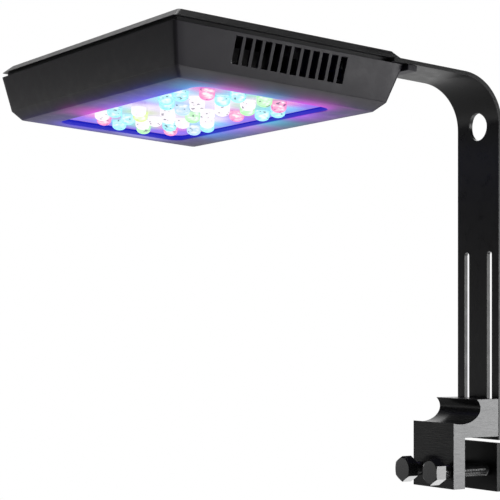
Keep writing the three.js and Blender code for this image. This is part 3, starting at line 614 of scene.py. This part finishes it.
EDGE_WIDTHS = {
    "top_cover": 0.35,
    "arm_bar": 0.35,
    "arm_bracket": 0.3,
    "clamp_block": 0.35,
    "pressure_plate": 0.35,
    "pressure_pad": 0.25,
    "led_board": 0.1,
    "heatsink": 0.15,
    "fan_frame_1": 0.3,
    "fan_frame_2": 0.3,
    "driver_board": 0.25,
}
for node_name, edge_width in EDGE_WIDTHS.items():
    refine(node_name, edge_width)
refine("panel_gasket", 0.15, look=GASKET_LOOK)


# ---- housing ----

CORNER_STEPS = 6
SIDE_STEPS = (30, 64)
# extra rings that carry the painted glow: shares of the way down the chamfer, mm from the opening
CHAMFER_RINGS = (0.35, 0.6, 0.8)
FRAME_RINGS = (13, 9.5, 6.5, 4, 2.2, 1.1)


def rectangle_ring(half_x, half_y, radius, z):
    """Points round a rounded rectangle, as many on every ring."""
    starts = [(1, 1, 0), (-1, 1, 90), (-1, -1, 180), (1, -1, 270)]
    corners = []
    for sign_x, sign_y, start in starts:
        centre = Vector((sign_x * (half_x - radius), sign_y * (half_y - radius), z))
        arc = []
        for step in range(CORNER_STEPS + 1):
            angle = math.radians(start + 90 * step / CORNER_STEPS)
            arc.append(centre + Vector((math.cos(angle), math.sin(angle), 0)) * radius)
        corners.append(arc)
    points = []
    for index, arc in enumerate(corners):
        points += arc
        target = corners[(index + 1) % 4][0]
        steps = SIDE_STEPS[index % 2]
        points += [arc[-1].lerp(target, step / steps) for step in range(1, steps)]
    return points


def housing_shell():
    """The tapered shell, from its top rim down the outside, under, and up the inside."""
    half_x, half_y = HEAD_X / 2, HEAD_Y / 2
    open_x, open_y = OPENING_X / 2, OPENING_Y / 2

    def walls(inset, z):
        return (half_x - inset, half_y - inset, CORNER_RADIUS, z)

    def beside_opening(distance, z):
        return (open_x + distance, open_y + distance, OPENING_RADIUS + distance, z)

    rise = (HOUSING_FLOOR_Z - HOUSING_BOTTOM_Z) / (HOUSING_KNEE_Z - HOUSING_BOTTOM_Z)
    floor_inset = BOTTOM_INSET + (KNEE_INSET - BOTTOM_INSET) * rise
    corners = [
        walls(0, HOUSING_TOP_Z),
        walls(KNEE_INSET, HOUSING_KNEE_Z),
        walls(BOTTOM_INSET, HOUSING_BOTTOM_Z),
        beside_opening(0, HOUSING_BOTTOM_Z),
        beside_opening(0, HOUSING_FLOOR_Z),
        walls(floor_inset + WALL, HOUSING_FLOOR_Z),
        walls(KNEE_INSET + WALL, HOUSING_KNEE_Z),
        walls(WALL, HOUSING_TOP_Z),
    ]
    knee, bottom_edge = 1, 2
    stations = []
    for index, corner in enumerate(corners):
        after = corners[(index + 1) % len(corners)]
        rounded = eased([corners[index - 1], corner, after], HOUSING_ROUNDING)
        stations += rounded[1:-1]
        if index == knee:
            for share in CHAMFER_RINGS:
                inset = KNEE_INSET + (BOTTOM_INSET - KNEE_INSET) * share
                level = HOUSING_KNEE_Z + (HOUSING_BOTTOM_Z - HOUSING_KNEE_Z) * share
                stations.append(walls(inset, level))
        if index == bottom_edge:
            stations += [beside_opening(distance, HOUSING_BOTTOM_Z) for distance in FRAME_RINGS]
    bm = bmesh.new()
    skin(bm, [rectangle_ring(*station) for station in stations], closed=True)
    return bm


def vent_cutters():
    """Boxes for the vents in both short sides, and one for the arm's notch."""
    bm = bmesh.new()
    first = -(VENT["count"] - 1) / 2 * VENT["pitch"]
    half_width, reach = VENT["width"] / 2, 10
    for side in SIGNS:
        for index in range(VENT["count"]):
            x = first + index * VENT["pitch"]
            y = side * (HEAD_Y / 2 - KNEE_INSET)
            low = (x - half_width, y - reach, VENT["bottom"])
            high = (x + half_width, y + reach, VENT["top"])
            box(bm, low, high)
    half_notch = ARM_NOTCH_WIDTH / 2
    low = (HEAD_X / 2 - 8, ARM_Y - half_notch, BRACKET_BOTTOM_Z - 1)
    box(bm, low, (HEAD_X / 2 + 2, ARM_Y + half_notch, 0))
    return bm


def socket_cutter():
    """A plug that cuts the power socket's hole."""
    radius, length = JACK["radius"] + GAP, 20
    return turned(bmesh.new(), [(0, 0), (radius, 0), (radius, length), (0, length)], 36)


def painted_light_on_housing(point):
    """Painted light: the LEDs' deep blue on the walls of the opening, and a soft spill of coloured light
    round it.
    """
    x, y, z = point
    if z > HOUSING_KNEE_Z - 0.7:  # the knee's rounding and all above it
        return (0, 0, 0)
    past_x = abs(x) - OPENING_X / 2
    past_y = abs(y) - OPENING_Y / 2
    past = max(past_x, past_y)
    if past_x > -OPENING_RADIUS and past_y > -OPENING_RADIUS:
        corner = math.hypot(past_x + OPENING_RADIUS, past_y + OPENING_RADIUS)
        past = corner - OPENING_RADIUS
    spill, _ = glow_at(x, y, SPILL_REACH, SPILL_PATCHES)
    if z > HOUSING_BOTTOM_Z + 0.4 and past < 1:
        return Vector(PAINTED_BLUE_LIGHT) + spill * WALL_SPILL_POWER
    fade = math.exp(-max(past, 0) / SPILL_WIDTH)
    climb = max(z - HOUSING_BOTTOM_Z, 0)
    colour = spill * SPILL_POWER + Vector(PAINTED_VIOLET_SPILL)
    return colour * fade * math.exp(-climb / CHAMFER_SPILL_HEIGHT)


def add_housing():
    housing = finish_mesh("housing_shell", housing_shell(), HEAD)
    carve(housing, finish_mesh("vents", vent_cutters(), HEAD))
    socket_place = at(HEAD_X / 2 - 15, 0, JACK["z"], HEAD, ALONG_X)
    carve(housing, finish_mesh("socket_hole", socket_cutter(), socket_place))
    housing.data.materials.clear()
    housing.data.materials.append(LOOKS["housing_paint"])
    housing.data.set_sharp_from_angle(angle=math.radians(SMOOTH_BELOW))
    # painted light: the LED glow is stored on the housing's vertices
    paint(housing, "glow", painted_light_on_housing)
    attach(housing, "lamp")
    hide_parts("housing")


add_housing()


# ---- lens panels ----


def lens_sheet(side):
    """The flat part of a panel, in small cells that can hold the painted glow."""
    bm = bmesh.new()
    size_y = LENS_SHEET["y"]
    bmesh.ops.create_grid(bm, x_segments=SHEET_CELLS, y_segments=SHEET_CELLS, size=0.5)
    bmesh.ops.scale(bm, vec=(LENS_SHEET["x"], size_y, 1), verts=bm.verts)
    middle = side * (size_y + GAP) / 2
    bmesh.ops.translate(bm, vec=(0, middle, LENS_SHEET["bottom"]), verts=bm.verts)
    thickness = LENS_SHEET["top"] - LENS_SHEET["bottom"]
    raised = bmesh.ops.extrude_face_region(bm, geom=bm.faces[:])["geom"]
    points = [part for part in raised if isinstance(part, bmesh.types.BMVert)]
    bmesh.ops.translate(bm, vec=(0, 0, thickness), verts=points)
    return bm


def lens_domes(cluster):
    """A round-nosed dome for each LED, standing on the sheet."""
    base, tip = LENS_SHEET["bottom"] + GAP, LENS_SHEET["bottom"] - LENS_HEIGHT
    shoulder = LENS_SHEET["bottom"] - 0.5 * LENS_HEIGHT
    outline = [(0, base), (LENS_RADIUS, base), (LENS_RADIUS, shoulder)]
    steps = 9
    for step in range(1, steps):
        angle = math.pi / 2 * step / steps
        radius = LENS_RADIUS * math.cos(angle)
        outline.append((radius, shoulder + (tip - shoulder) * math.sin(angle)))
    outline.append((0, tip))
    bm = bmesh.new()
    for x, y, _ in lens_sites(cluster):
        before = len(bm.verts)
        turned(bm, outline, 28)
        bm.verts.ensure_lookup_table()
        bmesh.ops.translate(bm, vec=(x, y, 0), verts=bm.verts[before:])
    return bm


def sheet_glow(point):
    """Violet near the edges, pale and tinted among the lenses."""
    near, share = glow_at(point.x, point.y, SHEET_REACH, LENS_LIGHTS)
    return Vector(PANEL_VIOLET) * (1 - share) + near


def lens_tint(point):
    """The colour of the lens that the point belongs to."""
    def distance(site):
        return math.hypot(point.x - site[0], point.y - site[1])

    return LED_COLOURS[min(ALL_LENSES, key=distance)[2]]


def add_lens_panel(cluster):
    number = cluster["name"]
    flat = lens_sheet(cluster["side"])
    node = f"lens_panel_{number}"
    sheet = piece(f"lens_sheet_{number}", flat, "lamp", "clear_acrylic", HEAD, [node], SHEET_LOOK)
    paint(sheet, "glow", sheet_glow)
    domes = piece(f"lens_domes_{number}", lens_domes(cluster), "lamp", "clear_acrylic", HEAD)
    paint(domes, "tint", lens_tint)


for cluster in CLUSTERS:
    add_lens_panel(cluster)


# ---- screws, nuts and other round parts ----


def grooves(radius, depth, pitch, start, end):
    """An outline that goes up and down like a thread, from start to end."""
    count = int(abs(end - start) / pitch)
    step = (end - start) / count
    outline = []
    for index in range(count):
        z = start + index * step
        outline.append((radius - depth, z + 0.15 * step))
        outline.append((radius, z + 0.45 * step))
        outline.append((radius, z + 0.6 * step))
    return outline


def screw(head_radius, head_height, shank_radius, length, sunk=False):
    """A socket screw pointing down: a domed head with a hexagon socket, and a grooved shank."""
    bm = bmesh.new()
    pitch = 0.35 * shank_radius
    socket = head_radius * 0.5
    floor = head_height * 0.35
    edge = min(0.5, head_height * 0.3)
    outline = [(0, -length), (shank_radius - 0.5, -length), (shank_radius - 0.2, -length + 0.5)]
    outline += grooves(shank_radius, 0.14 * shank_radius, pitch, -length + 0.8, -1.2)
    outline += [(shank_radius, -0.9), (shank_radius, -0.1), (shank_radius + 0.1, 0)]
    outline += [(head_radius - 0.2, 0), (head_radius, 0.2), (head_radius, head_height - edge)]
    crown = head_height if not sunk else head_height - 0.1
    outline += [(head_radius - edge * 0.4, head_height - edge * 0.35), (head_radius - edge, crown)]
    outline += [(socket + 0.35, crown), (socket, crown - 0.15, 6), (socket, floor, 6), (0, floor - 0.2)]
    return turned(bm, outline, 36)


def place_screws(names, sites, z, size, slot, turn=UPRIGHT):
    """A screw of the lamp head at each site, in place of the node with that name."""
    for name, (x, y) in zip(names, sites):
        piece(f"{name}_turned", screw(**size), "lamp", slot, at(x, y, z, HEAD, turn), [name])


def numbered(stem, count):
    return [f"{stem}_{index + 1}" for index in range(count)]


def corner_sites(x, y):
    return [(sign_x * x, sign_y * y) for sign_x, sign_y in FOUR_CORNERS]


POST_SITES = corner_sites(*COVER_POST)
SINK_SITES = corner_sites(*SINK_SCREW)
FAN_SITES = [
    (end * FAN_HOLE_PITCH / 2, side * CLUSTER_OFFSET_Y + end * FAN_HOLE_PITCH / 2)
    for side in SIGNS
    for end in SIGNS
]
BRACKET_SITES = [(78.0, ARM_Y + side * 8) for side in SIGNS]
UPSIDE_DOWN = Matrix.Rotation(math.pi, 4, "X")

place_screws(numbered("cover_screw", 4), POST_SITES, COVER_TOP_Z - 1.6, COVER_SCREW, "black_screw")
place_screws(numbered("heatsink_screw", 4), SINK_SITES, SINK_TOP_Z + GAP, SINK_FIXING, "zinc_steel")
place_screws(numbered("fan_screw", 4), FAN_SITES, FAN_TOP_Z + GAP, FAN_FIXING, "black_screw")
place_screws(
    numbered("bracket_screw", 2), BRACKET_SITES, BRACKET_BOTTOM_Z - GAP, BRACKET_FIXING, "black_screw",
    UPSIDE_DOWN,
)


def ring(inner, outer, low, high):
    """A flat ring about Z with eased edges."""
    corners = [(inner, low), (outer, low), (outer, high), (inner, high)]
    outline = eased(corners, 0.15, 2, closed=True)
    bm = bmesh.new()
    skin(bm, [circle(radius, z, 40) for radius, z in outline], closed=True)
    return bm


def standoff():
    """A threaded foot, a hexagon body and a threaded tip that goes through the driver board."""
    low, high = SINK_TOP_Z + GAP, DRIVER_Z[0] - GAP
    tip = DRIVER_Z[1] + 1
    outline = [(0, low - 1.8), (1.3, low - 1.8), (1.5, low - 1.5), (1.5, low), (2.9, low + 0.01, 6)]
    outline += [(3.1, low + 0.3, 6), (3.1, high - 0.3, 6), (2.9, high, 6), (1.5, high + 0.01)]
    outline += [(1.5, DRIVER_Z[1] + 0.7), (1.2, tip), (0, tip)]
    return turned(bmesh.new(), outline, 36)


def end_screw():
    """The grub screw in the end of the bracket."""
    outline = [(0, 0), (1, 0), (1, 5.8), (0.8, 6), (0.45, 6), (0.45, 5.5, 6), (0, 5.5)]
    return turned(bmesh.new(), outline, 24)


def add_spacers():
    for name, (x, y) in zip(numbered("cover_spacer", 4), POST_SITES):
        spacer = ring(1.85, 4.3, HOUSING_TOP_Z + GAP, 2.9)
        piece(f"{name}_turned", spacer, "lamp", "zinc_steel", at(x, y, 0, HEAD), [name])
    for name, (x, y) in zip(numbered("driver_standoff", 4), STANDOFF_SITES):
        piece(f"{name}_turned", standoff(), "lamp", "zinc_steel", at(x, y, 0, HEAD), [name])


def add_arm_fixings():
    """The washer and the screw behind each slot of the bar."""
    for side_name, side in (("near", -1), ("far", 1)):
        washer, fixing = f"{side_name}_arm_washer", f"{side_name}_arm_screw"
        flat = ring(WASHER["inner"], WASHER["outer"], 0, WASHER["thickness"])
        back = at(BAR_BACK_X + GAP, side * ARM_SLOT_Y, ARM_SCREW_Z, turn=ALONG_X)
        piece(f"{washer}_turned", flat, "clamp", "zinc_steel", back, [washer])
        seat_x = BAR_BACK_X + GAP + WASHER["thickness"] + GAP
        front = at(seat_x, side * ARM_SLOT_Y, ARM_SCREW_Z, turn=ALONG_X)
        piece(f"{fixing}_turned", screw(**ARM_FIXING), "clamp", "black_screw", front, [fixing])


def add_end_screw():
    name = "bracket_end_screw"
    spot = at(HEAD_X / 2 + 4.6, ARM_Y - 20, BRACKET_BOTTOM_Z + 2.2, HEAD, ALONG_X)
    piece(f"{name}_turned", end_screw(), "lamp", "black_screw", spot, [name])


add_spacers()
add_arm_fixings()
add_end_screw()


# ---- clamp bolts ----


def thread_rings(radius, depth, pitch, start, end, segments):
    """Rings whose radius follows a helical thread, faded out at both ends."""
    per_turn = 8
    count = int((end - start) / pitch * per_turn)
    rings = []
    for index in range(count + 1):
        z = start + (end - start) * index / count
        fade = min(1.0, index / per_turn, (count - index) / per_turn)
        points = []
        for k in range(segments):
            angle = 2 * math.pi * k / segments
            phase = (z / pitch - k / segments) % 1
            groove = min(1.0, max(0.0, 1.6 - 4 * abs(phase - 0.5)))
            reach = radius - depth * groove * fade
            points.append((reach * math.cos(angle), reach * math.sin(angle), z))
        rings.append(points)
    return rings


def clamp_bolt():
    """A hexagon head with a chamfered face, a threaded shank, and a stub at the tip."""
    segments = 48
    corner = BOLT_HEAD_FLATS / 2 / math.cos(math.pi / 6)
    face_radius = BOLT_HEAD_FLATS / 2 * 0.99
    slope = math.tan(math.radians(20))
    rim = []
    for x, y, _ in circle(corner, 0, segments, 6):
        rim.append((x, y, (math.hypot(x, y) - face_radius) * slope))
    head_end = BOLT_HEAD_LENGTH
    thread_end = BOLT_LENGTH - 1.2
    rings = [
        [(0, 0, 0)],
        circle(face_radius, 0, segments),
        rim,
        circle(corner, head_end - 0.3, segments, 6),
        circle(corner - 0.3, head_end, segments, 6),
        circle(BOLT_RADIUS + 0.4, head_end, segments),
        circle(BOLT_RADIUS, head_end + 0.4, segments),
    ]
    rings += thread_rings(BOLT_RADIUS, 0.55, BOLT_PITCH, head_end + 0.6, thread_end, segments)
    tip = BOLT_LENGTH + BOLT_STUB_LENGTH
    shoulder = [
        (BOLT_RADIUS, BOLT_LENGTH - 1),
        (BOLT_RADIUS - 1, BOLT_LENGTH),
        (BOLT_STUB_RADIUS, BOLT_LENGTH),
        (BOLT_STUB_RADIUS, tip - 0.4),
        (BOLT_STUB_RADIUS - 0.4, tip),
    ]
    rings += [circle(radius, z, segments) for radius, z in shoulder]
    rings.append([(0, 0, tip)])
    bm = bmesh.new()
    skin(bm, rings)
    return bm


def add_bolts():
    for side_name, side in (("near", -1), ("far", 1)):
        body = f"{side_name}_bolt"
        place = at(BOLT_FRONT_X, side * BOLT_OFFSET_Y, BOLT_Z, turn=ALONG_X)
        node = f"{side_name}_clamp_bolt"
        piece(f"{body}_threaded", clamp_bolt(), body, "black_nylon", place, [node], sharp=15)
        clip, clip_place = f"{body}_clip", at(CLIP_X, side * BOLT_OFFSET_Y, BOLT_Z, turn=ALONG_X)
        piece(f"{clip}_turned", ring(3.15, 4.8, 0, 0.7), body, "zinc_steel", clip_place, [clip])


add_bolts()


# ---- power socket and lead ----


def power_socket():
    """A threaded barrel with an eased edge at its mouth, and the contact pin inside it."""
    r = JACK["radius"]
    bm = bmesh.new()
    turned(bm, [(0, -10), (1.1, -10), (1.1, -1.2), (0.8, -0.9), (0.0, -0.9)], 24)
    barrel = [(0, -16), (r - 0.4, -16), (r, -15.6)]
    barrel += grooves(r, 0.35, 1.0, -15, -1)
    barrel += [(r, -0.8), (r - 0.4, -0.3), (r - 1, 0), (3.4, 0), (3.2, -0.3), (3.2, -9), (0, -9)]
    return turned(bm, barrel, 40)


def socket_nut():
    """A hexagon nut with chamfered faces and a round hole."""
    face, corner, mouth, bore, height = 7.2, 8.5, 6.5, 6.3, 2.5
    rings = [
        circle(face, 0),
        circle(corner, 0.5, sides=6),
        circle(corner, height - 0.5, sides=6),
        circle(face, height),
        circle(mouth, height),
        circle(bore, height - 0.2),
        circle(bore, 0.2),
        circle(mouth, 0),
    ]
    bm = bmesh.new()
    skin(bm, rings, closed=True)
    return bm


def tube(points, radius, segments=16, steps=10):
    """A round lead through the points."""
    path = []
    count = len(points)
    for index in range(count - 1):
        before, here = points[max(index - 1, 0)], points[index]
        ahead, beyond = points[index + 1], points[min(index + 2, count - 1)]
        for step in range(steps):
            t = step / steps
            path.append(catmull(before, here, ahead, beyond, t))
    path.append(Vector(points[-1]))
    rings = [[path[0]]]
    for index, spot in enumerate(path):
        along = path[min(index + 1, len(path) - 1)] - path[max(index - 1, 0)]
        across = along.cross(Vector((0, 0, 1))).normalized()
        up = across.cross(along).normalized()
        around = [2 * math.pi * k / segments for k in range(segments)]
        rings.append([spot + (across * math.cos(a) + up * math.sin(a)) * radius for a in around])
    rings.append([path[-1]])
    bm = bmesh.new()
    skin(bm, rings)
    return bm


def catmull(before, here, ahead, beyond, t):
    """A point of the smooth curve from here to ahead, at the share t of the way."""
    a, b, c, d = (Vector(point) for point in (before, here, ahead, beyond))
    smooth = 2 * b + (c - a) * t + (2 * a - 5 * b + 4 * c - d) * t**2
    return 0.5 * (smooth + (3 * b - a - 3 * c + d) * t**3)


# from the power socket over the fans to the driver board, in the head's frame
LEAD_POINTS = [
    (JACK["x"] - 17.6, 0, JACK["z"]),
    (62, 0, -13),
    (20, 2, -12),
    (-20, -2, -12),
    (-46.6, 0, -12.5),
]


def add_power_parts():
    mouth = at(JACK["x"], 0, JACK["z"], HEAD, ALONG_X)
    behind_wall = at(JACK["x"] - 8.5, 0, JACK["z"], HEAD, ALONG_X)
    lead = tube(LEAD_POINTS, LEAD_RADIUS)
    piece("power_socket_turned", power_socket(), "lamp", "fan_plastic", mouth, ["power_socket"])
    piece("power_socket_nut_turned", socket_nut(), "lamp", "zinc_steel", behind_wall, ["power_socket_nut"])
    piece("power_lead_round", lead, "lamp", "wire_sheath", HEAD, ["power_lead"])


add_power_parts()


# ---- fan rotors ----


def fan_rotor():
    """A hub with seven curved blades that twist towards the tip."""
    bm = bmesh.new()
    hub = [(2.8, 9.5), (2.8, 2.6), (HUB_RADIUS - 0.4, 2.6), (HUB_RADIUS, 3.0), (HUB_RADIUS, 12.2)]
    hub += [(HUB_RADIUS - 0.8, 13.2), (HUB_RADIUS - 2, 13.4), (0, 13.4)]
    turned(bm, [(0, 9.5)] + hub, 48)
    radial, chord = 7, 8
    half_thickness = Vector((0, 0, 0.45))
    for blade in range(BLADE_COUNT):
        turn = 2 * math.pi * blade / BLADE_COUNT
        sheet = []
        for i in range(radial + 1):
            share = i / radial
            radius = HUB_RADIUS - 0.8 + (ROTOR_RADIUS - HUB_RADIUS + 0.8) * share
            pitch = math.radians(46 - 20 * share)
            width = 15 + 7 * math.sin(math.pi * share * 0.8)
            row = []
            for j in range(chord + 1):
                across = j / chord - 0.5
                sweep = 0.32 * share * share
                camber = 1.1 * (1 - 4 * across * across)
                angle = turn + sweep + across * width * math.cos(pitch) / radius
                lift = 8 + across * width * math.sin(pitch) * 0.55 + camber
                row.append(Vector((radius * math.cos(angle), radius * math.sin(angle), lift)))
            sheet.append(row)
        rings = []
        for row in sheet:
            upper = [point + half_thickness for point in row]
            rings.append(upper + [point - half_thickness for point in reversed(row)])
        made = skin(bm, rings)
        for end in (made[0], made[-1]):
            bm.faces.new(end)
    return bm


def add_rotors():
    for number, side in enumerate(SIGNS, start=1):
        name = f"fan_rotor_{number}"
        place = at(0, side * CLUSTER_OFFSET_Y, FAN_BOTTOM_Z, HEAD)
        piece(f"{name}_bladed", fan_rotor(), f"rotor_{number}", "fan_plastic", place, [name])


add_rotors()


# ---- studio: camera, floor, lights ----

scene = bpy.context.scene

# a level camera below the lamp head, with its lens shifted up instead of tilted
CAMERA_PLACE = Vector((-0.7845, -0.9901, 0.0811))
CAMERA_YAW = math.radians(58.94)
VIEW_DIRECTION = Vector((math.cos(CAMERA_YAW), math.sin(CAMERA_YAW), 0))
LENS = 118.3
LENS_SHIFT = 0.158
FLOOR_Z = -0.34
# metres along the view, and what the floor gives to each side of them
FLOOR_DIM_TO = 0.5
FLOOR_BRIGHT_FROM = 2.8
FLOOR_NEAR_LIGHT = 0.16
FLOOR_FAR_LIGHT = 0.85
# how far a direction agrees with the view, and the world's light there
WORLD_DIM_TO = 0.62
WORLD_WHITE_FROM = 0.86
WORLD_SIDE_LIGHT = 0.034
WORLD_BACK_LIGHT = 1.0


def add_camera():
    data = bpy.data.cameras.new("camera")
    data.lens = LENS
    camera = bpy.data.objects.new("camera", data)
    scene.collection.objects.link(camera)
    camera.location = CAMERA_PLACE
    camera.rotation_euler = (math.radians(90), 0, CAMERA_YAW - math.radians(90))
    # the shift belongs to this viewpoint only: seen from any other place the lens is centred
    shift = data.driver_add("shift_y").driver
    variable = shift.variables.new()
    variable.name = "height"
    variable.type = "TRANSFORMS"
    variable.targets[0].id = camera
    variable.targets[0].transform_type = "LOC_Z"
    variable.targets[0].transform_space = "WORLD_SPACE"
    shift.expression = f"{LENS_SHIFT} if abs(height - {CAMERA_PLACE.z}) < 0.0001 else 0"
    scene.camera = camera


def white_surface(name, near, far):
    """White to the camera; to everything else, dim under the object and bright far behind it."""
    shader = Shader(name)
    seen = shader.node("LightPath").outputs["Is Camera Ray"]
    behind = shader.dot(shader.place, VIEW_DIRECTION)
    given = shader.remap(behind, FLOOR_DIM_TO, FLOOR_BRIGHT_FROM, near, far)
    mottled = shader.math("MULTIPLY", given, shader.remap(shader.noise(300, 2), 0.3, 0.7, 0.98, 1.02))
    strength = shader.node("Mix", {0: seen, 2: mottled, 3: 1.0}, data_type="FLOAT").outputs[0]
    light = shader.node("Emission", {"Color": rgb(1, 1, 1), "Strength": strength})
    output = shader.node("OutputMaterial")
    shader.links.new(light.outputs[0], output.inputs["Surface"])
    return shader.material


def add_floor():
    bm = bmesh.new()
    bmesh.ops.create_grid(bm, x_segments=1, y_segments=1, size=12000)
    floor = finish_mesh("floor", bm, at(0, 0, FLOOR_Z / MM))
    floor.data.materials.append(white_surface("floor_white", FLOOR_NEAR_LIGHT, FLOOR_FAR_LIGHT))


def add_world():
    """White behind the object, dim to the sides, so that dark faces stay dark."""
    world = bpy.data.worlds.new("studio")
    scene.world = world
    world.use_nodes = True
    nodes, links = world.node_tree.nodes, world.node_tree.links
    background = nodes["Background"]
    direction = nodes.new("ShaderNodeTexCoord").outputs["Generated"]
    towards = nodes.new("ShaderNodeVectorMath")
    towards.operation = "DOT_PRODUCT"
    towards.inputs[1].default_value = VIEW_DIRECTION
    links.new(direction, towards.inputs[0])
    spread = nodes.new("ShaderNodeMapRange")
    limits = (WORLD_DIM_TO, WORLD_WHITE_FROM, WORLD_SIDE_LIGHT, WORLD_BACK_LIGHT)
    for socket, value in zip(spread.inputs[1:5], limits):
        socket.default_value = value
    spread.interpolation_type = "SMOOTHSTEP"
    links.new(towards.outputs["Value"], spread.inputs[0])
    path = nodes.new("ShaderNodeLightPath")
    strength = nodes.new("ShaderNodeMix")
    strength.data_type = "FLOAT"
    strength.inputs[3].default_value = 1.0
    links.new(path.outputs["Is Camera Ray"], strength.inputs[0])
    links.new(spread.outputs[0], strength.inputs[2])
    links.new(strength.outputs[0], background.inputs["Strength"])
    background.inputs["Color"].default_value = rgb(1, 1, 1)


def add_light(name, place, target, width, height, radiance):
    """A rectangular softbox that shines from place towards target."""
    data = bpy.data.lights.new(name, "AREA")
    data.shape = "RECTANGLE"
    data.size, data.size_y = width, height
    data.energy = radiance * math.pi * width * height
    light = bpy.data.objects.new(name, data)
    scene.collection.objects.link(light)
    light.location = place
    aim = Vector(target) - Vector(place)
    light.rotation_euler = aim.to_track_quat("-Z", "Y").to_euler()
    light.visible_camera = False


# softboxes: name, place, target, width and height in metres, and radiance
LIGHTS = [
    ("key_softbox", (0.85, -1.05, 0.03), (0, 0, 0.05), 0.55, 0.62, 5.5),
    ("under_softbox", (0.25, -0.02, -0.33), (0.25, -0.02, 0.2), 0.56, 0.72, 2.3),
    ("top_softbox", (-0.2, 0.6, 1.6), (-0.15, 0.1, 0.2), 1.2, 1.0, 2.6),
    ("back_softbox", (1.1, 0.7, 0.7), (0, 0.05, 0.1), 0.8, 0.8, 3.0),
]

add_camera()
add_floor()
add_world()
for light_settings in LIGHTS:
    add_light(*light_settings)
scene.view_settings.view_transform = "Standard"
